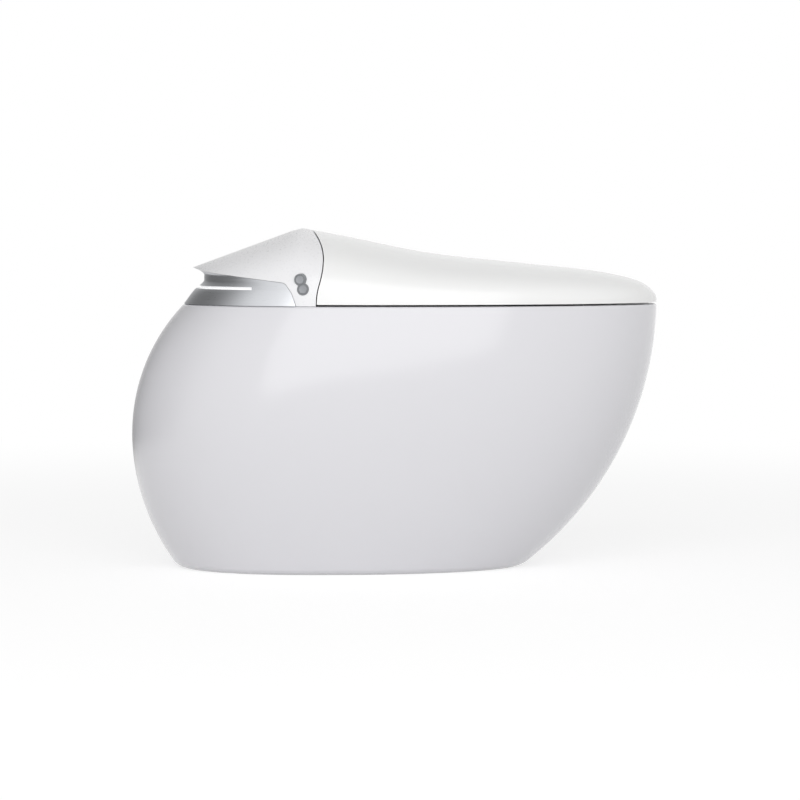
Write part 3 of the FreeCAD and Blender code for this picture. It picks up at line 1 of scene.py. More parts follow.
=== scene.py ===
"""Dresses a floor-standing smart toilet: glazed china, gloss mouldings, satin trim and the works inside."""
import json
import logging
import math
from dataclasses import dataclass, field
from enum import Enum
from typing import Callable, Sequence

import bmesh
import bpy
from mathutils import Matrix, Vector

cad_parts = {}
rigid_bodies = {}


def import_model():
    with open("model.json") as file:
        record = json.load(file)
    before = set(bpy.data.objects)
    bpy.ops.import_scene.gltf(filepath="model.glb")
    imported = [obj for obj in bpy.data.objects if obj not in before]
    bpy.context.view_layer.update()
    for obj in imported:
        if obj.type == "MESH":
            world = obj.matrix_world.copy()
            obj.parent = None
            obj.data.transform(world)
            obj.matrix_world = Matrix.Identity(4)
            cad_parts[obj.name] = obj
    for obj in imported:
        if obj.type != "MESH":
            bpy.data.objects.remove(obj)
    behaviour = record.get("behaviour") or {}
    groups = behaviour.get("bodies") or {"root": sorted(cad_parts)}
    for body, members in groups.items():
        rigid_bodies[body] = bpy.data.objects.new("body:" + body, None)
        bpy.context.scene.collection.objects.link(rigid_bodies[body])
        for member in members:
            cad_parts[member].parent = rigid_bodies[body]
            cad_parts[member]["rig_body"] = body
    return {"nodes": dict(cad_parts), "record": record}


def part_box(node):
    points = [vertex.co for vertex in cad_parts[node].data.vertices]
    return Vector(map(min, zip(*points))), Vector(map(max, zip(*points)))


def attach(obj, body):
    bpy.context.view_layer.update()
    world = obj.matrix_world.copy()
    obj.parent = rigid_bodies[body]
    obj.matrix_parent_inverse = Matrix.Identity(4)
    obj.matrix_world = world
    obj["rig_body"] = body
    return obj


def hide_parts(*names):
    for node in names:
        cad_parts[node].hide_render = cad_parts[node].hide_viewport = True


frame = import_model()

LOG = logging.getLogger("smart_toilet")
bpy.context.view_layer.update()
SLOTS = {row["node"]: row["material_slot"] for row in frame["record"]["subparts"]}
FAR = 1.0
OVERRUN = 0.02
MERGE = 1e-6
RING_POINTS = 192
ARCH_POINTS = 97
ARCHES = 60
DOME_STEPS = 40
SKIRT_STEPS = 40
BOWL_STEPS = 32
INNER_STEPS = 24
SEAM_STEPS = 32
NOSE_STEPS = 48
BAND_STEPS = 30
PIPE_SIDES = 64
BEND_STEPS = 24
EDGE_STEPS = 6
LIP_STEPS = 5
RIM_STEPS = 4
CAP_STEPS = 4
SEAT_STEPS = 10
SHELL_SHARP = 40.0

Ring = list[Vector]
Rows = Sequence[tuple[float, float]]


class Cut(Enum):
    """How one closed form meets another."""

    REMOVE = "DIFFERENCE"
    JOIN = "UNION"
    SHARE = "INTERSECT"


class Pattern(Enum):
    """The fine structure that a finish shows."""

    GLAZE = "glaze"
    MOULDED = "moulded"
    BRUSHED = "brushed"
    RIBBED = "ribbed"
    PRINTED = "printed"


def eased(rows: Rows, share: float) -> float:
    """Reads a smooth line through listed points.

    Args:
        rows: Places and values, in rising order of place.
        share: The place to read.

    Returns:
        The value there, with a continuous slope.
    """
    index = max(0, min(len(rows) - 2, sum(row[0] <= share for row in rows) - 1))
    slopes = []
    for k in (index, index + 1):
        before, after = rows[max(0, k - 1)], rows[min(len(rows) - 1, k + 1)]
        slopes.append((after[1] - before[1]) / (after[0] - before[0]))
    (left, low), (right, high) = rows[index], rows[index + 1]
    width = right - left
    part = (share - left) / width
    return (low * (1 + 2 * part) * (1 - part) ** 2 + slopes[0] * width * part * (1 - part) ** 2
            + high * part ** 2 * (3 - 2 * part) + slopes[1] * width * part ** 2 * (part - 1))


def quarter(steps: int, reverse: bool = False) -> list[tuple[float, float]]:
    """Gives the fall and rise of a quarter round, as shares of its radius.

    Args:
        steps: How many steps the round is divided into.
        reverse: Starts at the end of the round.

    Returns:
        Pairs of how far the round has moved in and how far it has risen.
    """
    angles = [math.pi / 2 * k / steps for k in range(steps + 1)]
    pairs = [(1 - math.cos(angle), math.sin(angle)) for angle in angles]
    return pairs[::-1] if reverse else pairs


class Form:
    """A closed mesh under construction, in metres in the frame of the whole object."""

    def __init__(self, name: str, shape: bmesh.types.BMesh) -> None:
        """Turns a finished bmesh into an object.

        Args:
            name: The object's name.
            shape: The bmesh, which is freed.
        """
        bmesh.ops.recalc_face_normals(shape, faces=shape.faces[:])
        mesh = bpy.data.meshes.new(name)
        shape.to_mesh(mesh)
        shape.free()
        self.thing = bpy.data.objects.new(name, mesh)
        bpy.context.scene.collection.objects.link(self.thing)

    @staticmethod
    def _row_edges(shape: bmesh.types.BMesh, row: list[bmesh.types.BMVert]) -> list[bmesh.types.BMEdge]:
        """Finds the edges of a closed row of vertices."""
        return [shape.edges.get(pair) for pair in zip(row, row[1:] + row[:1])]

    @classmethod
    def loft(cls, name: str, rings: Sequence[Ring], closed: bool = False) -> "Form":
        """Extrudes one ring through all the others.

        Args:
            name: The object's name.
            rings: Outlines with the same number of points, in order.
            closed: Joins the last ring to the first, instead of capping both.

        Returns:
            The closed form.
        """
        shape = bmesh.new()
        row = bmesh.ops.create_circle(shape, cap_ends=False, segments=len(rings[0]), radius=1)["verts"]
        for vertex, point in zip(row, rings[0]):
            vertex.co = point
        first = edges = cls._row_edges(shape, row)
        for ring in rings[1:]:
            made = bmesh.ops.extrude_edge_only(shape, edges=edges)["geom"]
            fresh = {item for item in made if isinstance(item, bmesh.types.BMVert)}
            row = [next(edge.other_vert(old) for edge in old.link_edges if edge.other_vert(old) in fresh)
                   for old in row]
            for vertex, point in zip(row, ring):
                vertex.co = point
            edges = cls._row_edges(shape, row)
        if closed:
            bmesh.ops.bridge_loops(shape, edges=first + edges)
        else:
            bmesh.ops.contextual_create(shape, geom=first)
            bmesh.ops.contextual_create(shape, geom=edges)
        return cls(name, shape)

    @classmethod
    def block(cls, name: str, low: Sequence[float], high: Sequence[float]) -> "Form":
        """Makes a box between two corners.

        Args:
            name: The object's name.
            low: The lowest corner.
            high: The highest corner.

        Returns:
            The closed form.
        """
        shape = bmesh.new()
        bmesh.ops.create_cube(shape, size=1)
        size = Vector(high) - Vector(low)
        bmesh.ops.scale(shape, vec=size, verts=shape.verts)
        bmesh.ops.translate(shape, vec=(Vector(high) + Vector(low)) / 2, verts=shape.verts)
        return cls(name, shape)

    @classmethod
    def rod(cls, name: str, radius: float, start: Vector, end: Vector, segments: int = 96) -> "Form":
        """Makes a round bar between two points.

        Args:
            name: The object's name.
            radius: The bar's radius.
            start: One end's centre.
            end: The other end's centre.
            segments: How many sides the bar has.

        Returns:
            The closed form.
        """
        shape = bmesh.new()
        along = end - start
        place = Matrix.Translation((start + end) / 2) @ along.to_track_quat("Z", "X").to_matrix().to_4x4()
        bmesh.ops.create_cone(shape, cap_ends=True, segments=segments, radius1=radius, radius2=radius,
                              depth=along.length, matrix=place)
        return cls(name, shape)

    @classmethod
    def prism(cls, name: str, outline: Sequence[tuple[float, float]], half_width: float,
              rounding: float = 0.0) -> "Form":
        """Extrudes an outline of the side view to both sides.

        Args:
            name: The object's name.
            outline: Places along and heights, in order.
            half_width: How far the prism reaches to each side.
            rounding: A radius for the outline's corners.

        Returns:
            The closed form.
        """
        shape = bmesh.new()
        corners = [shape.verts.new((along, -half_width, up)) for along, up in outline]
        face = shape.faces.new(corners)
        made = bmesh.ops.extrude_face_region(shape, geom=[face])["geom"]
        moved = [item for item in made if isinstance(item, bmesh.types.BMVert)]
        bmesh.ops.translate(shape, vec=(0, 2 * half_width, 0), verts=moved)
        if rounding:
            ends = [(edge, *edge.verts) for edge in shape.edges]
            across = [edge for edge, one, other in ends if abs(one.co.y - other.co.y) > half_width]
            bmesh.ops.bevel(shape, geom=across, offset=rounding, affect="EDGES", segments=EDGE_STEPS,
                            profile=0.5, material=-1, clamp_overlap=True)
        return cls(name, shape)

    @staticmethod
    def _run(shape: bmesh.types.BMesh, edges: list[bmesh.types.BMEdge],
             reach: Vector) -> list[bmesh.types.BMEdge]:
        """Draws an open end out by a straight run.

        Args:
            shape: The mesh under way.
            edges: The open end.
            reach: The run.

        Returns:
            The new open end.
        """
        made = bmesh.ops.extrude_edge_only(shape, edges=edges)["geom"]
        moved = [item for item in made if isinstance(item, bmesh.types.BMVert)]
        bmesh.ops.translate(shape, vec=reach, verts=moved)
        return [item for item in made if isinstance(item, bmesh.types.BMEdge) and item.is_boundary]

    @classmethod
    def pipe(cls, name: str, route: Sequence[Vector], bend: float, radius: float) -> "Form":
        """Makes a round pipe of straight runs with an arc at each corner.

        Args:
            name: The object's name.
            route: Where the pipe starts, its corners and where it ends.
            bend: The arcs' radius.
            radius: The pipe's radius.

        Returns:
            The closed form.
        """
        shape = bmesh.new()
        here = route[0]
        place = Matrix.Translation(here) @ (route[1] - here).to_track_quat("Z", "X").to_matrix().to_4x4()
        row = bmesh.ops.create_circle(shape, cap_ends=True, segments=PIPE_SIDES, radius=radius,
                                      matrix=place)["verts"]
        edges = cls._row_edges(shape, row)
        for corner, after in zip(route[1:], route[2:]):
            toward, away = (corner - here).normalized(), (after - corner).normalized()
            turn = toward.angle(away)
            setback = bend * math.tan(turn / 2)
            entry = corner - toward * setback
            edges = cls._run(shape, edges, entry - here)
            axis = toward.cross(away).normalized()
            made = bmesh.ops.spin(shape, geom=edges, cent=entry + axis.cross(toward) * bend, axis=axis,
                                  angle=turn, steps=BEND_STEPS, use_merge=False)["geom_last"]
            edges = [item for item in made if isinstance(item, bmesh.types.BMEdge)]
            here = corner + away * setback
        edges = cls._run(shape, edges, route[-1] - here)
        bmesh.ops.contextual_create(shape, geom=edges)
        return cls(name, shape)

    @classmethod
    def turned(cls, name: str, profile: Sequence[tuple[float, float]], place: Matrix) -> "Form":
        """Spins a profile of radius and height about its own upright axis.

        Args:
            name: The object's name.
            profile: Radii and heights, starting and ending on the axis.
            place: Where the turned form goes.

        Returns:
            The closed form.
        """
        shape = bmesh.new()
        line = [shape.verts.new((radius, 0, height)) for radius, height in profile]
        edges = [shape.edges.new(pair) for pair in zip(line, line[1:])]
        bmesh.ops.spin(shape, geom=line + edges, cent=(0, 0, 0), axis=(0, 0, 1), angle=2 * math.pi,
                       steps=PIPE_SIDES, use_merge=True)
        bmesh.ops.remove_doubles(shape, verts=shape.verts, dist=MERGE)
        bmesh.ops.transform(shape, matrix=place, verts=shape.verts)
        return cls(name, shape)

    def meet(self, other: "Form", cut: Cut) -> "Form":
        """Cuts, joins or trims this form with another one, which is used up.

        Args:
            other: The other form.
            cut: What to do with it.

        Returns:
            This form.
        """
        modifier = self.thing.modifiers.new("meet", "BOOLEAN")
        modifier.operation = cut.value
        modifier.solver = "MANIFOLD"
        modifier.object = other.thing
        finished = self.thing.evaluated_get(bpy.context.evaluated_depsgraph_get())
        result = bpy.data.meshes.new_from_object(finished)
        self.thing.modifiers.clear()
        result.name = self.thing.name
        self.thing.data = result
        bpy.data.objects.remove(other.thing)
        return self

    def dress(self, finish: "Finish", body: str, *nodes: str, sharp: float = 32.0) -> bpy.types.Object:
        """Finishes the form as a piece of the object.

        Args:
            finish: The surface that it gets.
            body: The body that it moves with.
            nodes: The CAD nodes that it stands for.
            sharp: Edges that turn by more degrees than this stay crisp.

        Returns:
            The piece.
        """
        mesh = self.thing.data
        mesh.materials.clear()
        mesh.materials.append(finish.material())
        for face in mesh.polygons:
            face.material_index = 0
        mesh.shade_smooth()
        mesh.set_sharp_from_angle(angle=math.radians(sharp))
        level = self.thing.modifiers.new("level", "WEIGHTED_NORMAL")
        level.keep_sharp = True
        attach(self.thing, body)
        if nodes:
            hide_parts(*nodes)
        LOG.info("%s: %d faces", self.thing.name, len(mesh.polygons))
        return self.thing


@dataclass(frozen=True)
class Finish:
    """A surface: its colour, gloss and fine structure."""

    slot: str
    color: tuple[float, float, float]
    shade: tuple[float, float, float]
    roughness: float
    pattern: Pattern = Pattern.MOULDED
    metallic: float = 0.0
    coat: float = 0.0
    coat_roughness: float = 0.15
    patch_scale: float = 6.0
    grain_scale: float = 420.0
    spread: float = 0.06
    relief: float = 0.04
    relief_depth: float = 0.001
    # emission strength, used only for the slit strip's painted glow
    glow: float = 0.0

    def material(self) -> bpy.types.Material:
        """Gives the finish's material, made the first time that it is asked for.

        Returns:
            The node material.
        """
        known = bpy.data.materials.get(f"{self.slot}_finish")
        if known:
            return known
        made = bpy.data.materials.new(f"{self.slot}_finish")
        made.use_nodes = True
        tree = made.node_tree
        shader = tree.nodes["Principled BSDF"]
        shader.inputs["Metallic"].default_value = self.metallic
        shader.inputs["Coat Weight"].default_value = self.coat
        shader.inputs["Coat Roughness"].default_value = self.coat_roughness
        shader.inputs["Emission Strength"].default_value = self.glow
        spot = tree.nodes.new("ShaderNodeTexCoord")
        effect = tree.nodes.new("ShaderNodeGroup")
        effect.node_tree = EFFECTS[self.pattern]()
        effect.inputs["Color"].default_value = (*self.color, 1)
        effect.inputs["Shade"].default_value = (*self.shade, 1)
        effect.inputs["Patch Scale"].default_value = self.patch_scale
        effect.inputs["Grain Scale"].default_value = self.grain_scale
        effect.inputs["Roughness"].default_value = self.roughness
        effect.inputs["Spread"].default_value = self.spread
        bump = tree.nodes.new("ShaderNodeBump")
        bump.inputs["Strength"].default_value = self.relief
        bump.inputs["Distance"].default_value = self.relief_depth
        tree.links.new(spot.outputs["Object"], effect.inputs["Vector"])
        tree.links.new(effect.outputs["Color"], shader.inputs["Base Color"])
        tree.links.new(effect.outputs["Color"], shader.inputs["Emission Color"])
        tree.links.new(effect.outputs["Roughness"], shader.inputs["Roughness"])
        tree.links.new(effect.outputs["Height"], bump.inputs["Height"])
        tree.links.new(bump.outputs["Normal"], shader.inputs["Normal"])
        return made


class Effect:
    """A shader group with the sockets that all finishes share."""

    INPUTS = (("Vector", "NodeSocketVector"), ("Color", "NodeSocketColor"), ("Shade", "NodeSocketColor"),
              ("Patch Scale", "NodeSocketFloat"), ("Grain Scale", "NodeSocketFloat"),
              ("Roughness", "NodeSocketFloat"), ("Spread", "NodeSocketFloat"))
    OUTPUTS = (("Color", "NodeSocketColor"), ("Roughness", "NodeSocketFloat"), ("Height", "NodeSocketFloat"))

    def __init__(self, name: str) -> None:
        """Starts an empty group.

        Args:
            name: The group's name.
        """
        self.tree = bpy.data.node_groups.new(name, "ShaderNodeTree")
        for label, kind in self.INPUTS:
            self.tree.interface.new_socket(label, in_out="INPUT", socket_type=kind)
        for label, kind in self.OUTPUTS:
            self.tree.interface.new_socket(label, in_out="OUTPUT", socket_type=kind)
        self.enter = self.tree.nodes.new("NodeGroupInput")
        self.leave = self.tree.nodes.new("NodeGroupOutput")

    def link(self, start: bpy.types.NodeSocket, end: bpy.types.NodeSocket) -> None:
        """Joins two sockets."""
        self.tree.links.new(start, end)

    def noise(self, scale: str | float, detail: float,
              stretch: tuple[float, float, float] = (1, 1, 1)) -> bpy.types.NodeSocket:
        """Adds a noise over the surface.

        Args:
            scale: The name of the group's own scale, or a plain number.
            detail: How many finer layers it has.
            stretch: How the pattern is drawn out along each axis.

        Returns:
            The noise's value.
        """
        drawn = self.tree.nodes.new("ShaderNodeMapping")
        drawn.inputs["Scale"].default_value = stretch
        self.link(self.enter.outputs["Vector"], drawn.inputs["Vector"])
        made = self.tree.nodes.new("ShaderNodeTexNoise")
        made.inputs["Detail"].default_value = detail
        if isinstance(scale, str):
            self.link(self.enter.outputs[scale], made.inputs["Scale"])
        else:
            made.inputs["Scale"].default_value = scale
        self.link(drawn.outputs["Vector"], made.inputs["Vector"])
        return made.outputs["Fac"]

    def combine(self, first: bpy.types.NodeSocket, second: bpy.types.NodeSocket | float,
                operation: str = "ADD") -> bpy.types.NodeSocket:
        """Adds a sum of two values.

        Args:
            first: The first value.
            second: The second value, or a plain number.
            operation: The sum's kind.

        Returns:
            The result.
        """
        made = self.tree.nodes.new("ShaderNodeMath")
        made.operation = operation
        self.link(first, made.inputs[0])
        if isinstance(second, (int, float)):
            made.inputs[1].default_value = second
        else:
            self.link(second, made.inputs[1])
        return made.outputs[0]

    def close(self, patch: bpy.types.NodeSocket, grain: bpy.types.NodeSocket,
              height: bpy.types.NodeSocket) -> bpy.types.ShaderNodeTree:
        """Ends the group: patches vary the colour, grain the gloss.

        Args:
            patch: How far the colour leans to its shade.
            grain: How the gloss varies.
            height: The relief.

        Returns:
            The group.
        """
        mix = self.tree.nodes.new("ShaderNodeMix")
        mix.data_type = "RGBA"
        self.link(patch, mix.inputs["Factor"])
        self.link(self.enter.outputs["Color"], mix.inputs["A"])
        self.link(self.enter.outputs["Shade"], mix.inputs["B"])
        self.link(mix.outputs["Result"], self.leave.inputs["Color"])
        centred = self.combine(grain, 0.5, "SUBTRACT")
        lean = self.combine(centred, self.enter.outputs["Spread"], "MULTIPLY")
        self.link(self.combine(lean, self.enter.outputs["Roughness"]), self.leave.inputs["Roughness"])
        self.link(height, self.leave.inputs["Height"])
        return self.tree


def once(name: str,
         build: Callable[[Effect], bpy.types.ShaderNodeTree]) -> Callable[[], bpy.types.ShaderNodeTree]:
    """Wraps a group's builder so that the group is made a single time.

    Args:
        name: The group's name.
        build: Fills an empty group.

    Returns:
        A function that gives the group.
    """
    def give() -> bpy.types.ShaderNodeTree:
        """Gives the group, built or found."""
        return bpy.data.node_groups.get(name) or build(Effect(name))
    return give


GLAZE_WAVE_SCALE = 34.0
GLAZE_GRAIN_SHARE = 0.05
FLOW_STRETCH = (1, 0.4, 1)
HAIR_STRETCH = (0.02, 0.02, 1)
TRACK_WIDTH = 0.03
TRACK_TONE = 0.25


def glaze(effect: Effect) -> bpy.types.ShaderNodeTree:
    """Fired glaze: a slow waviness, faint cloudiness and pin-head grain.

    Args:
        effect: The empty group.

    Returns:
        The group.
    """
    cloud = effect.noise("Patch Scale", 3)
    wave = effect.noise(GLAZE_WAVE_SCALE, 1)
    grain = effect.noise("Grain Scale", 2)
    height = effect.combine(wave, effect.combine(grain, GLAZE_GRAIN_SHARE, "MULTIPLY"))
    return effect.close(cloud, grain, height)


def moulded(effect: Effect) -> bpy.types.ShaderNodeTree:
    """Moulded plastic or rubber: a fine even texture with faint flow marks.

    Args:
        effect: The empty group.

    Returns:
        The group.
    """
    flow = effect.noise("Patch Scale", 4, FLOW_STRETCH)
    grain = effect.noise("Grain Scale", 3)
    return effect.close(flow, grain, grain)


def brushed(effect: Effect) -> bpy.types.ShaderNodeTree:
    """Brushed metal: hair lines along the length, and slow smears.

    Args:
        effect: The empty group.

    Returns:
        The group.
    """
    smear = effect.noise("Patch Scale", 3)
    hair = effect.noise("Grain Scale", 4, HAIR_STRETCH)
    return effect.close(effect.combine(smear, hair, "MULTIPLY"), hair, hair)


def ribbed(effect: Effect) -> bpy.types.ShaderNodeTree:
    """Braided hose: crossed fine ribs.

    Args:
        effect: The empty group.

    Returns:
        The group.
    """
    heights = []
    for turn in (1, -1):
        wave = effect.tree.nodes.new("ShaderNodeTexWave")
        wave.bands_direction = "DIAGONAL"
        mirror = effect.tree.nodes.new("ShaderNodeMapping")
        mirror.inputs["Scale"].default_value = (turn, 1, 1)
        effect.link(effect.enter.outputs["Vector"], mirror.inputs["Vector"])
        effect.link(mirror.outputs["Vector"], wave.inputs["Vector"])
        effect.link(effect.enter.outputs["Grain Scale"], wave.inputs["Scale"])
        heights.append(wave.outputs["Fac"])
    weave = effect.combine(*heights, "MULTIPLY")
    return effect.close(weave, effect.noise("Patch Scale", 2), weave)


def printed(effect: Effect) -> bpy.types.ShaderNodeTree:
    """Printed tracks on a board or film: stepped lines of lighter tone.

    Args:
        effect: The empty group.

    Returns:
        The group.
    """
    brick = effect.tree.nodes.new("ShaderNodeTexBrick")
    brick.inputs["Color1"].default_value = (0, 0, 0, 1)
    brick.inputs["Color2"].default_value = (*[TRACK_TONE] * 3, 1)
    brick.inputs["Mortar"].default_value = (1, 1, 1, 1)
    brick.inputs["Mortar Size"].default_value = TRACK_WIDTH
    effect.link(effect.enter.outputs["Vector"], brick.inputs["Vector"])
    effect.link(effect.enter.outputs["Patch Scale"], brick.inputs["Scale"])
    grain = effect.noise("Grain Scale", 2)
    return effect.close(brick.outputs["Color"], grain, brick.outputs["Fac"])


EFFECTS: dict[Pattern, Callable[[], bpy.types.ShaderNodeTree]] = {
    Pattern.GLAZE: once("glaze_effect", glaze),
    Pattern.MOULDED: once("moulded_effect", moulded),
    Pattern.BRUSHED: once("brushed_effect", brushed),
    Pattern.RIBBED: once("ribbed_effect", ribbed),
    Pattern.PRINTED: once("printed_effect", printed),
}

FINISHES: dict[str, Finish] = {finish.slot: finish for finish in (
    Finish("china", (0.784, 0.778, 0.807), (0.769, 0.765, 0.796), 0.16, Pattern.GLAZE, coat=0.25,
           patch_scale=5.0, relief=0.03),
    Finish("white_gloss", (0.915, 0.913, 0.925), (0.90, 0.90, 0.915), 0.28, coat=0.1, relief=0.012),
    Finish("lid_gloss", (0.945, 0.945, 0.938), (0.93, 0.932, 0.926), 0.22, coat=0.25, relief=0.012),
    Finish("trim_silver", (0.72, 0.735, 0.76), (0.60, 0.61, 0.64), 0.30, Pattern.BRUSHED, metallic=1.0,
           patch_scale=9.0, grain_scale=900.0, spread=0.16, relief=0.05),
    Finish("white_matte", (0.90, 0.90, 0.90), (0.87, 0.87, 0.87), 0.5),
    # painted glow: the slit strip is plain white plastic that gives off light though it is no lamp, so it
    # stays bright in the recess's shade
    Finish("slit_painted_glow", (0.92, 0.92, 0.92), (0.9, 0.9, 0.9), 0.5, glow=0.42),
    Finish("bezel_grey", (0.25, 0.26, 0.27), (0.22, 0.23, 0.24), 0.4),
    Finish("button_grey", (0.33, 0.34, 0.36), (0.30, 0.31, 0.33), 0.3, coat=0.3),
    Finish("soft_grey", (0.58, 0.59, 0.60), (0.52, 0.53, 0.54), 0.7, spread=0.15),
    Finish("rubber", (0.03, 0.03, 0.032), (0.05, 0.05, 0.05), 0.75, spread=0.15, relief=0.1),
    Finish("hose", (0.36, 0.37, 0.39), (0.22, 0.23, 0.25), 0.5, Pattern.RIBBED, grain_scale=260.0,
           relief=0.5),
    Finish("inner_plastic", (0.68, 0.69, 0.70), (0.62, 0.63, 0.64), 0.45),
    Finish("black_plastic", (0.02, 0.02, 0.023), (0.035, 0.035, 0.037), 0.45, relief=0.08),
    Finish("coil", (0.03, 0.035, 0.06), (0.05, 0.055, 0.08), 0.4),
    Finish("steel", (0.56, 0.57, 0.58), (0.45, 0.46, 0.47), 0.32, Pattern.BRUSHED, metallic=1.0,
           grain_scale=700.0),
    Finish("wand_steel", (0.66, 0.67, 0.68), (0.58, 0.59, 0.60), 0.2, Pattern.BRUSHED, metallic=1.0,
           grain_scale=900.0),
    Finish("brass", (0.62, 0.45, 0.19), (0.5, 0.35, 0.14), 0.3, Pattern.BRUSHED, metallic=1.0,
           grain_scale=700.0),
    Finish("circuit", (0.01, 0.09, 0.04), (0.03, 0.2, 0.09), 0.4, Pattern.PRINTED, patch_scale=260.0),
    Finish("film", (0.62, 0.33, 0.12), (0.35, 0.15, 0.05), 0.4, Pattern.PRINTED, patch_scale=40.0),
)}


@dataclass(frozen=True)
class Egg:
    """The egg-shaped plan that the china, the lid, the cover and the seat share."""

    widest_share: float = 0.41
    back_round_share: float = 0.87
    front_round_share: float = 0.93

    def ring(self, back: float, front: float, half: float, height: float) -> Ring:
        """Gives a level outline.

        Args:
            back: Where its back end lies.
            front: Where its front end lies.
            half: Half its width.
            height: Its height.

        Returns:
            Points round the outline, starting at the front.
        """
        middle = back + (front - back) * self.widest_share
        points = []
        for index in range(RING_POINTS):
            angle = 2 * math.pi * index / RING_POINTS
            cosine, sine = math.cos(angle), math.sin(angle)
            power = self.front_round_share if cosine > 0 else self.back_round_share
            reach = front - middle if cosine > 0 else middle - back
            points.append(Vector((middle + math.copysign(reach * abs(cosine) ** power, cosine),
                                  math.copysign(half * abs(sine) ** power, sine), height)))
        return points

    def half_width(self, place: float, back: float, front: float, half: float) -> float:
        """Gives half an outline's width at a place along it.

        Args:
            place: The place along.
            back: Where the outline's back end lies.
            front: Where its front end lies.
            half: Half its greatest width.

        Returns:
            Half the width there, zero past the ends.
        """
        middle = back + (front - back) * self.widest_share
        ahead = place > middle
        fullness = 2 / (self.front_round_share if ahead else self.back_round_share)
        share = (place - middle) / (front - middle) if ahead else (middle - place) / (middle - back)
        return half * max(0.0, 1 - share ** fullness) ** (1 / fullness)


EGG = Egg()


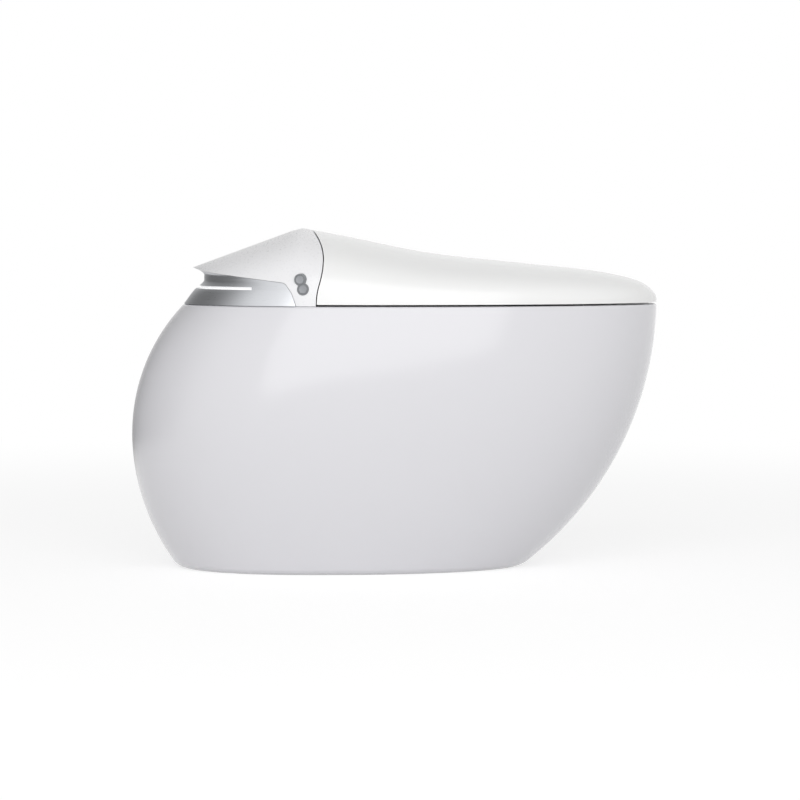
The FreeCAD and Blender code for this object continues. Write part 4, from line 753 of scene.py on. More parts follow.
@dataclass
class Pedestal:
    """The china casting: skirt, rim, bowl and trap in one piece."""

    back_bulge: float = 0.182
    back_rim_inset: float = 0.072
    back_foot_inset: float = 0.0615
    front_bulge: float = 0.368
    front_foot_inset: float = 0.184
    side_bulge: float = 0.270
    side_foot_inset: float = 0.073
    foot_round: float = 0.008
    rim_round: float = 0.003
    lip_round: float = 0.006
    wall: float = 0.011
    foot_wall: float = 0.022
    taper_height: float = 0.0715
    taper_share: float = 0.8
    deck: float = 0.014
    bowl_back: float = 0.088
    bowl_margin: float = 0.052
    bowl_half: float = 0.135
    sump: float = 0.078
    trap_radius: float = 0.027
    trap_wall: float = 0.010
    trap_bend: float = 0.044
    # the trap's corners, along and up: in the sump, under the bowl's back and over the crest
    trap_route: tuple[tuple[float, float], ...] = ((0.140, 0.100), (0.0593, 0.060), (-0.060, 0.385))
    spigot_height: float = 0.028
    cut_play: float = 0.0001
    notch_low: tuple[float, float, float] = (-0.152, -0.060, 0.324)
    notch_front: float = -0.058
    notch_wall: float = 0.009
    pan_front: float = -0.078
    port_low: tuple[float, float] = (-0.262, -0.062)
    port_front: float = -0.172
    service_radius: float = 0.026
    service_height: float = 0.070
    service_reach: float = 0.06
    # bowl sections: depth, back end, front end and width, as shares of the opening
    bowl_shares: tuple[tuple[float, float, float, float], ...] = (
        (0, 0, 1, 1), (0.1, 0, 1, 1), (0.3, 0.1, 0.96, 0.88), (0.5, 0.285, 0.875, 0.68),
        (0.7, 0.4, 0.77, 0.47), (0.87, 0.46, 0.69, 0.32), (1, 0.5, 0.64, 0.22))

    def __post_init__(self) -> None:
        """Takes the overall sizes from the frame."""
        low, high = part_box("ceramic_body")
        self.rear, self.front, self.half, self.rim = low.x, -low.x, high.y, high.z

    @staticmethod
    def falling(height: float, bulge: float, end: float, inset: float) -> float:
        """Gives how far an upright arc has fallen back.

        Args:
            height: Where to read it.
            bulge: The height at which it is upright.
            end: The height of its end.
            inset: How far it falls by its end.

        Returns:
            The fall at that height.
        """
        rise = end - bulge
        radius = (rise ** 2 + inset ** 2) / (2 * inset)
        return radius - math.sqrt(radius ** 2 - (height - bulge) ** 2)

    def limits(self, height: float) -> tuple[float, float, float]:
        """Gives the skirt's extent at a height.

        Args:
            height: The height.

        Returns:
            Its back end, front end and half width.
        """
        upper = height > self.back_bulge
        end, inset = (self.rim, self.back_rim_inset) if upper else (0.0, self.back_foot_inset)
        return (self.rear + self.falling(height, self.back_bulge, end, inset),
                self.front - self.falling(height, self.front_bulge, 0.0, self.front_foot_inset),
                self.half - self.falling(height, self.side_bulge, 0.0, self.side_foot_inset))

    def skirt(self, height: float, inset: float = 0.0) -> Ring:
        """Gives the skirt's outline at a height, moved in.

        Args:
            height: The height.
            inset: How far it is moved in.

        Returns:
            The outline.
        """
        back, front, half = self.limits(height)
        return EGG.ring(back + inset, front - inset, half - inset, height)

    def bowl(self, share: float, grow: float = 0.0, height: float | None = None) -> Ring:
        """Gives the bowl's outline at a depth.

        Args:
            share: The depth, as a share of the bowl's.
            grow: How far the outline is moved out.
            height: Its height, if not the depth's own.

        Returns:
            The outline.
        """
        length = self.front - self.bowl_margin + self.bowl_back
        back, front, width = (eased([(row[0], row[column]) for row in self.bowl_shares], share)
                              for column in (1, 2, 3))
        level = self.rim - share * (self.rim - self.sump) if height is None else height
        return EGG.ring(back * length - self.bowl_back - grow, front * length - self.bowl_back + grow,
                        self.bowl_half * width + grow, level)

    def rings(self) -> list[Ring]:
        """Gives the whole section, from the sump up, over the rim, down the skirt and up inside it.

        Returns:
            Outlines in order.
        """
        depth = self.rim - self.sump
        lip_share = self.lip_round / depth
        rings = [self.bowl(1 - (1 - lip_share) * k / BOWL_STEPS) for k in range(BOWL_STEPS + 1)]
        for out, up in quarter(LIP_STEPS)[1:]:
            rings.append(self.bowl(0, out * self.lip_round, self.rim - self.lip_round * (1 - up)))
        for inward, up in quarter(RIM_STEPS, reverse=True):
            rings.append(self.skirt(self.rim - self.rim_round * (1 - up), inward * self.rim_round))
        low, high = self.foot_round, self.rim - self.rim_round
        rings += [self.skirt(high - (high - low) * (k + 1) / SKIRT_STEPS) for k in range(SKIRT_STEPS)]
        for inward, up in quarter(LIP_STEPS)[1:]:
            rings.append(self.skirt(self.foot_round * (1 - up), inward * self.foot_round))
        ceiling = self.rim - self.deck
        thicker = (self.foot_wall - self.wall) * self.taper_share
        for k in range(INNER_STEPS + 1):
            height = ceiling * k / INNER_STEPS
            taper = max(0.0, 1 - height / self.taper_height)
            rings.append(self.skirt(height, self.wall + thicker * taper))
        start = self.deck / depth
        rings += [self.bowl(start + (1 - start) * k / INNER_STEPS, self.wall) for k in range(INNER_STEPS + 1)]
        rings.append(self.bowl(1, self.wall / 2, self.sump - self.wall))
        return rings

    def build(self) -> None:
        """Makes the casting and glazes it."""
        body = Form.loft("china_pedestal", self.rings())
        route = [Vector((x, 0, z)) for x, z in self.trap_route]
        down = route[-1].x
        body.meet(Form.pipe("trap_wall", [*route, Vector((down, 0, self.spigot_height))], self.trap_bend,
                            self.trap_radius + self.trap_wall), Cut.JOIN)
        hollow = [self.bowl(1 - k / BOWL_STEPS, -self.cut_play) for k in range(BOWL_STEPS + 1)]
        hollow.append(self.bowl(0, -self.cut_play, self.rim + self.deck))
        body.meet(Form.loft("bowl_hollow", hollow), Cut.REMOVE)
        low = Vector(self.notch_low)
        body.meet(Form.block("notch_pan", low - Vector((1, 1, 1)) * self.notch_wall,
                             (self.pan_front, -low.y + self.notch_wall, self.rim - self.deck / 2)), Cut.JOIN)
        body.meet(Form.pipe("trap_space", [*route, Vector((down, 0, -self.wall))], self.trap_bend,
                            self.trap_radius), Cut.REMOVE)
        over = self.rim + self.deck
        body.meet(Form.block("notch", low, (self.notch_front, -low.y, over)), Cut.REMOVE)
        back, side = self.port_low
        body.meet(Form.block("port", (back, side, self.rim - 2 * self.deck), (self.port_front, -side, over)),
                  Cut.REMOVE)
        outside = Vector((self.rear - self.wall, 0, self.service_height))
        inside = Vector((self.rear + self.service_reach, 0, self.service_height))
        body.meet(Form.rod("service_hole", self.service_radius, outside, inside), Cut.REMOVE)
        body.dress(FINISHES["china"], "pedestal", "ceramic_body", "ceramic_bowl")


@dataclass
class Crown:
    """The low dome over the rim that the lid and the rear cover are cut from."""

    china: Pedestal
    side_inset: float = 0.001
    base: float = 0.004
    round_share: float = 0.77
    peak: float = -0.128
    peak_rise: float = 0.1035
    cover_back: float = -0.277
    lip_rise: float = 0.049
    ridge_round: float = 0.010
    ridge_fall_share: float = 0.9
    ridge_dip_share: float = 0.36
    # the cover's arches, from its rear lip forward, as shares of a quarter turn
    first_arch_share: float = 0.05
    arch_span_share: float = 0.81
    hinge: tuple[float, float] = (-0.146, 0.420)
    nose_radius: float = 0.0525
    nose_front: float = -0.1024
    seam: float = 0.0015
    arc_overlap_share: float = 0.02
    # the seam from the rim to the round nose: height below the hinge and setback behind the nose, as shares
    seam_shares: tuple[tuple[float, float], ...] = (
        (0.13, 0.045), (0.17, 0.07), (0.28, 0.18), (0.4, 0.35), (0.52, 0.56), (0.63, 0.755), (0.75, 0.9),
        (0.87, 0.985), (1, 1))
    # the lid's top line from the peak to the front: place and height, as shares
    lid_shares: tuple[tuple[float, float], ...] = (
        (0, 1), (0.126, 0.887), (0.363, 0.667), (0.634, 0.528), (0.8, 0.447), (0.87, 0.395), (0.938, 0.316),
        (0.972, 0.236), (0.997, 0.116), (1, 0.05))

    def lid_top(self, place: float) -> float:
        """Gives the lid's height above the rim.

        Args:
            place: The place along its top line.

        Returns:
            The height there, level behind the peak.
        """
        share = (place - self.peak) / (self.china.front - self.peak)
        return eased(self.lid_shares, min(1.0, share)) * self.peak_rise if share > 0 else self.peak_rise

    def cover_top(self, place: float) -> float:
        """Gives the cover's height above the rim, with a softly rounded ridge at the peak.

        Args:
            place: The place along its top line.

        Returns:
            The height there.
        """
        slope = (self.peak_rise - self.lip_rise) / (self.peak - self.cover_back)
        rear = self.lip_rise + slope * (place - self.cover_back)
        ahead = place - self.peak
        front = self.lid_top(place) if ahead > 0 else self.peak_rise + self.ridge_fall_share * slope * ahead
        blend = max(0.0, min(1.0, 0.5 + ahead / (2 * self.ridge_round)))
        dip = self.ridge_round * self.ridge_dip_share * blend * (1 - blend)
        return rear * (1 - blend) + front * blend - dip

    def nose(self, inset: float) -> Form:
        """Makes all that lies behind the seam: the round nose about the hinge, and what is under and behind.

        Args:
            inset: How far its face is moved back.

        Returns:
            The closed form.
        """
        along, up = self.hinge
        radius = self.nose_radius - inset
        front = along + radius
        setback = along + self.nose_radius - self.nose_front
        rise = up - self.china.rim
        outline = [(-FAR, 0.0), (front - setback, 0.0)]
        first = self.seam_shares[0][0]
        for k in range(SEAM_STEPS + 1):
            down = 1 - (1 - first) * k / SEAM_STEPS
            outline.append((front - setback * eased(self.seam_shares, down), up - rise * down))
        start = -math.asin(rise * (first - self.arc_overlap_share) / radius)
        arc = [start + (math.pi / 2 - start) * k / NOSE_STEPS for k in range(NOSE_STEPS + 1)]
        outline += [(along + radius * math.cos(angle), up + radius * math.sin(angle)) for angle in arc]
        outline += [(along, FAR), (-FAR, FAR)]
        return Form.prism("nose", outline, FAR)

    def lid_form(self, name: str, inset: float, bottom: float) -> Form:
        """Makes the lid's dome over the whole rim, in rings that follow its outline.

        Args:
            name: The form's name.
            inset: How far it is moved in.
            bottom: The height of its flat underside.

        Returns:
            The closed form.
        """
        rim = self.china.rim
        back, front, side = self.china.limits(rim)
        end = front - inset
        half = side - self.side_inset - inset
        edge = EGG.ring(back, end, half, rim + self.base)
        middle = Vector((back + (end - back) * EGG.widest_share, 0, 0))
        rings = [[Vector((p.x, p.y, bottom)) for p in edge], edge]
        fullness = 2 / self.round_share
        for k in range(1, DOME_STEPS):
            share = math.cos(math.pi / 2 * k / DOME_STEPS) ** self.round_share
            ring = []
            for point in edge:
                place = middle.lerp(Vector((point.x, point.y, 0)), share)
                width = EGG.half_width(place.x, back, end, half)
                ratio = min(1.0, abs(place.y) / width) if width > MERGE else 1.0
                stretched = self.peak + (place.x - self.peak) * (front - self.peak) / (end - self.peak)
                rise = max(0.0, self.lid_top(stretched) - inset - self.base)
                arch = max(0.0, 1 - ratio ** fullness) ** (1 / fullness)
                ring.append(Vector((place.x, place.y, rim + self.base + rise * arch)))
            rings.append(ring)
        return Form.loft(name, rings)

    def cover_form(self, name: str, inset: float, bottom: float) -> Form:
        """Makes the rear cover's dome, in arches from its rear lip forward.

        Args:
            name: The form's name.
            inset: How far it is moved in.
            bottom: The height of its flat underside.

        Returns:
            The closed form.
        """
        rim = self.china.rim
        front, side = self.china.limits(rim)[1:]
        back = self.cover_back + inset
        half = side - self.side_inset - inset
        middle = back + (front - back) * EGG.widest_share
        arches = []
        for k in range(ARCHES + 1):
            share = self.first_arch_share + self.arch_span_share * k / ARCHES
            place = middle - (middle - back) * math.cos(share * math.pi / 2)
            width = EGG.half_width(place, back, front, half)
            rise = self.cover_top(place) - inset - self.base
            arch = []
            for step in range(ARCH_POINTS):
                angle = math.pi * step / (ARCH_POINTS - 1)
                cosine, sine = math.cos(angle), math.sin(angle)
                arch.append(Vector((place, math.copysign(width * abs(cosine) ** self.round_share, cosine),
                                    rim + self.base + rise * abs(sine) ** self.round_share)))
            arch += [Vector((place, -width, bottom)), Vector((place, width, bottom))]
            arches.append(arch)
        return Form.loft(name, arches)


@dataclass
class Lid:
    """The lid's gloss shell."""

    crown: Crown
    gap: float = 0.0025
    wall: float = 0.003

    def build(self) -> None:
        """Makes the shell, open below and cut along the seam."""
        rim = self.crown.china.rim
        shell = self.crown.lid_form("lid_cover_shell", 0.0, rim + self.gap)
        shell.meet(self.crown.lid_form("lid_space", self.wall, rim - self.crown.base), Cut.REMOVE)
        shell.meet(self.crown.nose(-self.crown.seam), Cut.REMOVE)
        shell.dress(FINISHES["lid_gloss"], "lid", "lid_shell", sharp=SHELL_SHARP)


@dataclass
class RearCover:
    """The white rear cover, open at its band, hinge slots, nozzle mouth and buttons."""

    crown: Crown
    gap: float = 0.0004
    wall: float = 0.003
    slot_low: float = 0.0595
    slot_high: float = 0.1005
    slot_back: float = -0.162
    slot_mid: float = 0.432
    slot_top_back: float = -0.125
    slot_top: float = 0.449
    mouth_half: float = 0.057
    mouth_top: float = 0.377
    button_hole_reach: float = 0.014
    bay_round: float = 0.004
    # the bay's front edge, places along and heights over the rim, then its edge under the lip
    bay_front: tuple[tuple[float, float], ...] = ((-0.128, 0), (-0.134, 0.0175), (-0.1434, 0.031))
    bay_rear: tuple[float, float] = (-0.259, 0.0446)
    bay_lip_rise: float = 0.0495

    def bay(self, gap: float) -> Form:
        """Makes the space under the lip that the trim band fills.

        Args:
            gap: How far its edge is moved in.

        Returns:
            The closed form.
        """
        rim = self.crown.china.rim
        low = rim - OVERRUN
        lip = rim + self.bay_lip_rise - gap
        outline = [(self.bay_front[0][0] - gap, low)]
        outline += [(along - gap, rim + up - gap) for along, up in self.bay_front]
        outline += [(self.bay_rear[0], rim + self.bay_rear[1] - gap), (self.crown.cover_back, lip)]
        outline += [(-FAR, lip), (-FAR, low)]
        return Form.prism("bay", outline, FAR / 2, self.bay_round)

    def build(self, buttons: "Buttons") -> None:
        """Makes the cover.

        Args:
            buttons: What its side is pierced for.
        """
        rim = self.crown.china.rim
        cover = self.crown.cover_form("rear_cover_shell", 0.0, rim + self.gap)
        cover.meet(self.crown.nose(0.0), Cut.SHARE)
        space = self.crown.cover_form("cover_space", self.wall, rim - OVERRUN)
        space.meet(self.crown.nose(self.wall), Cut.SHARE)
        cover.meet(space, Cut.REMOVE)
        cover.meet(self.bay(0.0), Cut.REMOVE)
        for side in (1, -1):
            near, far = sorted((side * self.slot_low, side * self.slot_high))
            cover.meet(Form.block("slot", (self.slot_back, near, rim - OVERRUN), (0, far, self.slot_mid)),
                       Cut.REMOVE)
            cover.meet(Form.block("slot_top", (self.slot_top_back, near, self.slot_mid - OVERRUN),
                                  (0, far, self.slot_top)), Cut.REMOVE)
        cover.meet(Form.block("mouth", (self.crown.nose_front - OVERRUN, -self.mouth_half, rim - OVERRUN),
                              (0, self.mouth_half, self.mouth_top)), Cut.REMOVE)
        reach = self.button_hole_reach
        cover.meet(buttons.pair("button_hole", buttons.hole_radius, -reach, reach), Cut.REMOVE)
        cover.dress(FINISHES["white_gloss"], "pedestal", "rear_cover", sharp=SHELL_SHARP)


@dataclass
class TrimBand:
    """The satin silver band in the recess under the cover's lip, with its bright slit."""

    cover: RearCover
    height: float = 0.042
    recess: float = 0.027
    side_share: float = 0.12
    wall: float = 0.003
    gap: float = 0.0004
    slit_low: float = 0.3812
    slit_high: float = 0.3850
    slit_front: float = -0.188
    # the recess from the rim up: height and depth, as shares
    depth_shares: tuple[tuple[float, float], ...] = (
        (0, 0), (0.44, 0.52), (0.58, 0.78), (0.72, 1), (0.83, 1.02), (0.97, 1), (1.12, 0.7))

    def form(self, name: str, inset: float) -> Form:
        """Makes the hollow-chested form of the recess.

        Args:
            name: The form's name.
            inset: How far it is moved in.

        Returns:
            The closed form.
        """
        china = self.cover.crown.china
        back, front, side = china.limits(china.rim)
        rings = []
        for k in range(BAND_STEPS + 1):
            share = self.depth_shares[-1][0] * k / BAND_STEPS
            deep = eased(self.depth_shares, share) * self.recess
            level = china.rim + self.gap + share * self.height
            rings.append(EGG.ring(back + deep + inset, front - deep - inset,
                                  side - deep * self.side_share - inset, level))
        return Form.loft(name, rings)

    def build(self) -> None:
        """Makes the band."""
        band = self.form("silver_band", 0.0)
        band.meet(self.form("band_space", self.wall), Cut.REMOVE)
        band.meet(self.cover.bay(self.gap), Cut.SHARE)
        band.meet(Form.block("slit", (-FAR, -FAR, self.slit_low), (self.slit_front, FAR, self.slit_high)),
                  Cut.REMOVE)
        band.dress(FINISHES["trim_silver"], "pedestal", "trim_band")


@dataclass
class Seat:
    """The heated seat's upper half, softly rounded at both edges."""

    china: Pedestal
    inset: float = 0.026
    split: float = 0.3725
    top: float = 0.384
    edge_rise: float = 0.009
    edge_reach: float = 0.016
    back: float = -0.066
    hole_back: float = 0.008
    hole_margin: float = 0.075
    hole_half: float = 0.106

    def outline(self, extra: float, height: float) -> Ring:
        """Gives the seat's outer outline.

        Args:
            extra: How much further than the seat's edge it is moved in.
            height: Its height.

        Returns:
            The outline.
        """
        back, front, side = self.china.limits(self.china.rim)
        inset = self.inset + extra
        return EGG.ring(back + inset, front - inset, side - inset, height)

    def hole(self, extra: float, height: float) -> Ring:
        """Gives the outline of the seat's opening.

        Args:
            extra: How far it is moved out.
            height: Its height.

        Returns:
            The outline.
        """
        front = self.china.front - self.hole_margin
        return EGG.ring(self.hole_back - extra, front + extra, self.hole_half + extra, height)

    def build(self) -> None:
        """Makes the ring, cut square at the hinge."""
        low = self.top - self.edge_rise
        rings = [self.outline(0, self.split)]
        rings += [self.outline(inward * self.edge_reach, low + up * self.edge_rise)
                  for inward, up in quarter(SEAT_STEPS)]
        rings += [self.hole(inward * self.edge_reach, low + up * self.edge_rise)
                  for inward, up in quarter(SEAT_STEPS, reverse=True)]
        rings.append(self.hole(0, self.split))
        ring = Form.loft("seat_ring", rings, closed=True)
        ring.meet(Form.block("seat_limit", (self.back, -FAR, 0), (FAR, FAR, FAR)), Cut.SHARE)
        ring.dress(FINISHES["white_gloss"], "seat", "seat_top", sharp=SHELL_SHARP)


@dataclass
class Buttons:
    """Two stacked push buttons in a figure-of-eight bezel on the cover's right side."""

    back: float = -0.121
    side: float = -0.1956
    height: float = 0.389
    yaw: float = 15.0
    roll: float = 18.0
    half_pitch: float = 0.0066
    hole_radius: float = 0.0082
    bezel_radius: float = 0.0079
    bezel_depth: float = 0.0123
    bezel_proud: float = 0.001
    cap_radius: float = 0.0057
    cap_depth: float = 0.008
    cap_proud: float = 0.0018
    cap_edge: float = 0.0007
    cap_dish: float = 0.0005
    dish_shares: tuple[float, ...] = (0.8, 0.6, 0.4, 0.2)
    play: float = 0.0003

    def place(self, up: float = 0.0) -> Matrix:
        """Gives the place of a button, with its axis out of the cover.

        Args:
            up: How far it is moved along the pair.

        Returns:
            The placing matrix.
        """
        turn = (Matrix.Rotation(math.radians(-self.yaw), 4, "Z") @ Matrix.Rotation(math.radians(90), 4, "X")
                @ Matrix.Rotation(math.radians(self.roll), 4, "Z"))
        return Matrix.Translation((self.back, self.side, self.height)) @ turn @ Matrix.Translation((0, up, 0))

    def pair(self, name: str, radius: float, low: float, high: float) -> Form:
        """Makes two rods side by side, joined where they meet.

        Args:
            name: The form's name.
            radius: The rods' radius.
            low: Where they start, along their axis.
            high: Where they end.

        Returns:
            The closed form.
        """
        forms = []
        for up in (self.half_pitch, -self.half_pitch):
            place = self.place(up)
            forms.append(Form.rod(name, radius, place @ Vector((0, 0, low)), place @ Vector((0, 0, high))))
        return forms[0].meet(forms[1], Cut.JOIN)

    def build(self) -> None:
        """Makes the bezel and both caps."""
        bezel = self.pair("button_surround", self.bezel_radius, -self.bezel_depth, self.bezel_proud)
        for up in (self.half_pitch, -self.half_pitch):
            place = self.place(up)
            bezel.meet(Form.rod("cap_hole", self.cap_radius + self.play, place @ Vector((0, 0, -OVERRUN)),
                                place @ Vector((0, 0, OVERRUN))), Cut.REMOVE)
        bezel.dress(FINISHES["bezel_grey"], "pedestal", "button_bezel")
        edge = self.cap_edge
        profile = [(0, -self.cap_depth), (self.cap_radius, -self.cap_depth)]
        profile += [(self.cap_radius - inward * edge, self.cap_proud - edge + up * edge)
                    for inward, up in quarter(CAP_STEPS)]
        profile += [(self.cap_radius * share, self.cap_proud - self.cap_dish * (1 - share ** 2))
                    for share in self.dish_shares]
        profile.append((0, self.cap_proud - self.cap_dish))
        for name, up in (("flush", self.half_pitch), ("stop", -self.half_pitch)):
            cap = Form.turned(f"{name}_button_cap", profile, self.place(up))
            cap.dress(FINISHES["button_grey"], f"{name}_button", f"{name}_button")


@dataclass
class Works:
    """The CAD pieces that keep their shape and get a finish."""

    # nodes whose surface differs from the rest of their slot; the slit strip gets a painted glow
    own_finishes: dict[str, str] = field(default_factory=lambda: {"slit_strip": "slit_painted_glow"})

    def build(self) -> None:
        """Gives every CAD node the finish of its slot."""
        for node, thing in frame["nodes"].items():
            finish = FINISHES[self.own_finishes.get(node, SLOTS[node])]
            thing.data.materials.clear()
            thing.data.materials.append(finish.material())
            LOG.info("%s: finish %s", node, finish.slot)


@dataclass
class Moulding:
    """A CAD piece that keeps its form, with its triangles merged and its hard edges slightly rounded."""

    node: str
    rounding: float = 0.0005
    sharp: float = 32.0
    flat_angle: float = 0.3
    edge_angle: float = 50.0

    def build(self) -> None:
        """Makes the piece from the CAD mesh and dresses it."""
        source = frame["nodes"][self.node]
        shape = bmesh.new()
        shape.from_mesh(source.data)
        bmesh.ops.remove_doubles(shape, verts=shape.verts, dist=MERGE)
        bmesh.ops.dissolve_limit(shape, angle_limit=math.radians(self.flat_angle), verts=shape.verts,
                                 edges=shape.edges)
        piece = Form(f"{self.node}_moulding", shape)
        edge = piece.thing.modifiers.new("edge", "BEVEL")
        edge.width = self.rounding
        edge.segments = 2
        edge.limit_method = "ANGLE"
        edge.angle_limit = math.radians(self.edge_angle)
        piece.dress(FINISHES[SLOTS[self.node]], source["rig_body"], self.node, sharp=self.sharp)


@dataclass
class Studio:
    """A white floor under soft light, and the camera square to the toilet's right side.

    Each pair is a value before and after a change: light levels, cosines of a fade, or distances.
    """

    distance: float = 4.15
    frame_width: float = 1.1003
    aim_x: float = 0.0079
    eye_height: float = 0.460
    tilt: float = 3.22
    clip_end: float = 200.0
    floor_half: float = 60.0
    floor_tone: float = 0.8
    ambient: tuple[float, float] = (0.82, 0.30)
    gloss: tuple[float, float] = (1.0, 0.17)
    dim_corner: Vector = field(default_factory=lambda: Vector((-0.84, 0.53, 0.1)))
    dim_fade: tuple[float, float] = (0.49, 0.95)
    floor_shade: float = 0.45
    floor_glow: float = 0.68
    floor_fade: tuple[float, float] = (0.8, 2.6)
    key_size: float = 5.6
    key_power: float = 150.0
    key_place: tuple[float, float, float] = (0.0, -4.5, 1.8)
    key_target: tuple[float, float, float] = (0.0, 0.0, 0.25)

    def shown(self, tree: bpy.types.NodeTree) -> bpy.types.NodeSocket:
        """Adds a mask of the rays that show the background: camera, glossy and transmission rays.

        Args:
            tree: The material's or world's nodes.

        Returns:
            The mask.
        """
        path = tree.nodes.new("ShaderNodeLightPath")
        socket = path.outputs["Is Camera Ray"]
        for label in ("Is Glossy Ray", "Is Transmission Ray"):
            most = tree.nodes.new("ShaderNodeMath")
            most.operation = "MAXIMUM"
            tree.links.new(socket, most.inputs[0])
            tree.links.new(path.outputs[label], most.inputs[1])
            socket = most.outputs[0]
        return socket

    def fade(self, tree: bpy.types.NodeTree, place: str, toward: Vector, near: tuple[float, float],
             levels: tuple[float, float]) -> bpy.types.NodeSocket:
        """Adds a light level that changes toward a direction.

        Args:
            tree: The world's or floor's nodes.
            place: The name of the coordinates that give the direction seen.
            toward: The direction.
            near: How far toward it the change starts and ends, as cosines.
            levels: The level before and after the change.

        Returns:
            The level.
        """
        spot = tree.nodes.new("ShaderNodeTexCoord")
        unit = tree.nodes.new("ShaderNodeVectorMath")
        unit.operation = "NORMALIZE"
        dot = tree.nodes.new("ShaderNodeVectorMath")
        dot.operation = "DOT_PRODUCT"
        dot.inputs[1].default_value = toward.normalized()
        level = tree.nodes.new("ShaderNodeMapRange")
        level.interpolation_type = "SMOOTHSTEP"
        for label, value in zip(("From Min", "From Max", "To Min", "To Max"), (*near, *levels)):
            level.inputs[label].default_value = value
        tree.links.new(spot.outputs[place], unit.inputs[0])
        tree.links.new(unit.outputs["Vector"], dot.inputs[0])
        tree.links.new(dot.outputs["Value"], level.inputs["Value"])
        return level.outputs["Result"]

    def world(self) -> None:
        """Lights the sides more than the top, shows white behind the object and a dim corner in the metal."""
        world = bpy.data.worlds.new("studio")
        world.use_nodes = True
        tree = world.node_tree
        light = tree.nodes["Background"]
        light.inputs["Color"].default_value = (1, 1, 1, 1)
        ambient = self.fade(tree, "Generated", Vector((0, 0, 1)), (0.0, 1.0), self.ambient)
        tree.links.new(ambient, light.inputs["Strength"])
        gloss = tree.nodes.new("ShaderNodeBackground")
        gloss.inputs["Color"].default_value = (1, 1, 1, 1)
        mirrored = self.fade(tree, "Generated", self.dim_corner, self.dim_fade, self.gloss)
        tree.links.new(mirrored, gloss.inputs["Strength"])
        white = tree.nodes.new("ShaderNodeBackground")
        white.inputs["Color"].default_value = (1, 1, 1, 1)
        path = tree.nodes.new("ShaderNodeLightPath")
        last = light.outputs[0]
        shown = (("Is Glossy Ray", gloss), ("Is Transmission Ray", white), ("Is Camera Ray", white))
        for label, other in shown:
            mix = tree.nodes.new("ShaderNodeMixShader")
            tree.links.new(path.outputs[label], mix.inputs["Fac"])
            tree.links.new(last, mix.inputs[1])
            tree.links.new(other.outputs[0], mix.inputs[2])
            last = mix.outputs[0]
        tree.links.new(last, tree.nodes["World Output"].inputs["Surface"])
        bpy.context.scene.world = world

    def floor(self) -> None:
        """Lays a white floor that keeps a light shadow."""
        shape = bmesh.new()
        bmesh.ops.create_grid(shape, x_segments=1, y_segments=1, size=self.floor_half)
        floor = Form("floor", shape).thing
        finish = bpy.data.materials.new("floor_white")
        finish.use_nodes = True
        tree = finish.node_tree
        tree.nodes.remove(tree.nodes["Principled BSDF"])
        plain = tree.nodes.new("ShaderNodeBsdfDiffuse")
        plain.inputs["Color"].default_value = (*[self.floor_tone] * 3, 1)
        soft = tree.nodes.new("ShaderNodeBsdfDiffuse")
        soft.inputs["Color"].default_value = (*[self.floor_shade] * 3, 1)
        glow = tree.nodes.new("ShaderNodeEmission")
        glow.inputs["Strength"].default_value = self.floor_glow
        white = tree.nodes.new("ShaderNodeEmission")
        level = tree.nodes.new("ShaderNodeMix")
        level.inputs["A"].default_value = 1.0
        path = tree.nodes.new("ShaderNodeLightPath")
        tree.links.new(path.outputs["Is Glossy Ray"], level.inputs["Factor"])
        mirrored = self.fade(tree, "Object", self.dim_corner, self.dim_fade, self.gloss)
        tree.links.new(mirrored, level.inputs["B"])
        tree.links.new(level.outputs["Result"], white.inputs["Strength"])
        near = tree.nodes.new("ShaderNodeAddShader")
        shown = tree.nodes.new("ShaderNodeMixShader")
        mix = tree.nodes.new("ShaderNodeMixShader")
        spot = tree.nodes.new("ShaderNodeTexCoord")
        reach = tree.nodes.new("ShaderNodeVectorMath")
        reach.operation = "LENGTH"
        far = tree.nodes.new("ShaderNodeMapRange")
        far.interpolation_type = "SMOOTHSTEP"
        far.inputs["From Min"].default_value, far.inputs["From Max"].default_value = self.floor_fade
        tree.links.new(spot.outputs["Object"], reach.inputs[0])
        tree.links.new(reach.outputs["Value"], far.inputs["Value"])
        tree.links.new(soft.outputs[0], near.inputs[0])
        tree.links.new(glow.outputs[0], near.inputs[1])
        tree.links.new(far.outputs["Result"], shown.inputs["Fac"])
        tree.links.new(near.outputs[0], shown.inputs[1])
        tree.links.new(white.outputs[0], shown.inputs[2])
        tree.links.new(self.shown(tree), mix.inputs["Fac"])
        tree.links.new(plain.outputs[0], mix.inputs[1])
        tree.links.new(shown.outputs[0], mix.inputs[2])
        tree.links.new(mix.outputs[0], tree.nodes["Material Output"].inputs["Surface"])
        floor.data.materials.append(finish)

    def lamp(self) -> None:
        """Hangs the square soft light in front of the object."""
        data = bpy.data.lights.new("key", "AREA")
        data.size = self.key_size
        data.energy = self.key_power
        lamp = bpy.data.objects.new("key", data)
        lamp.location = self.key_place
        toward = Vector(self.key_target) - Vector(self.key_place)
        lamp.rotation_euler = toward.to_track_quat("-Z", "Y").to_euler()
        bpy.context.scene.collection.objects.link(lamp)

    def camera(self) -> None:
        """Sets the camera where the photograph was taken from."""
        data = bpy.data.cameras.new("side_camera")
        data.sensor_fit = "HORIZONTAL"
        data.angle = 2 * math.atan(self.frame_width / 2 / self.distance)
        data.clip_end = self.clip_end
        camera = bpy.data.objects.new("side_camera", data)
        camera.location = (self.aim_x, -self.distance, self.eye_height)
        camera.rotation_euler = (math.radians(90 - self.tilt), 0, 0)
        bpy.context.scene.collection.objects.link(camera)
        bpy.context.scene.camera = camera

    def build(self) -> None:
        """Sets up the whole studio."""
        bpy.context.scene.view_settings.view_transform = "Standard"
        self.world()
        self.floor()
        self.lamp()
        self.camera()


MOULDINGS = ("seat_base", "lid_liner", "seat_bumpers", "lid_bumpers", "nozzle_shield", "service_grommet",
             "outlet_seal", "rear_wash_wand", "front_wash_wand")


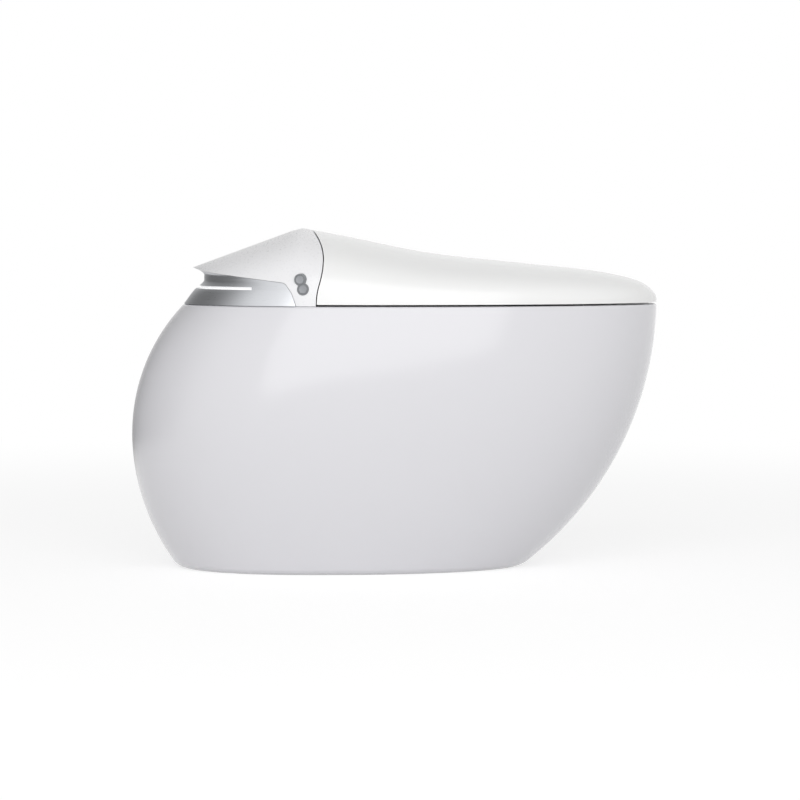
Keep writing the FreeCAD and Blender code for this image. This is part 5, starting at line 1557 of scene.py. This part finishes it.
def main() -> None:
    """Builds every sub-assembly in order; the CAD nodes that they stand for stay in the scene, hidden."""
    logging.basicConfig(level=logging.INFO, format="%(name)s: %(message)s")
    Works().build()
    china = Pedestal()
    china.build()
    crown = Crown(china)
    Lid(crown).build()
    buttons = Buttons()
    cover = RearCover(crown)
    cover.build(buttons)
    TrimBand(cover).build()
    buttons.build()
    Seat(china).build()
    for node in MOULDINGS:
        Moulding(node).build()
    Studio().build()


if __name__ == "__main__":
    main()
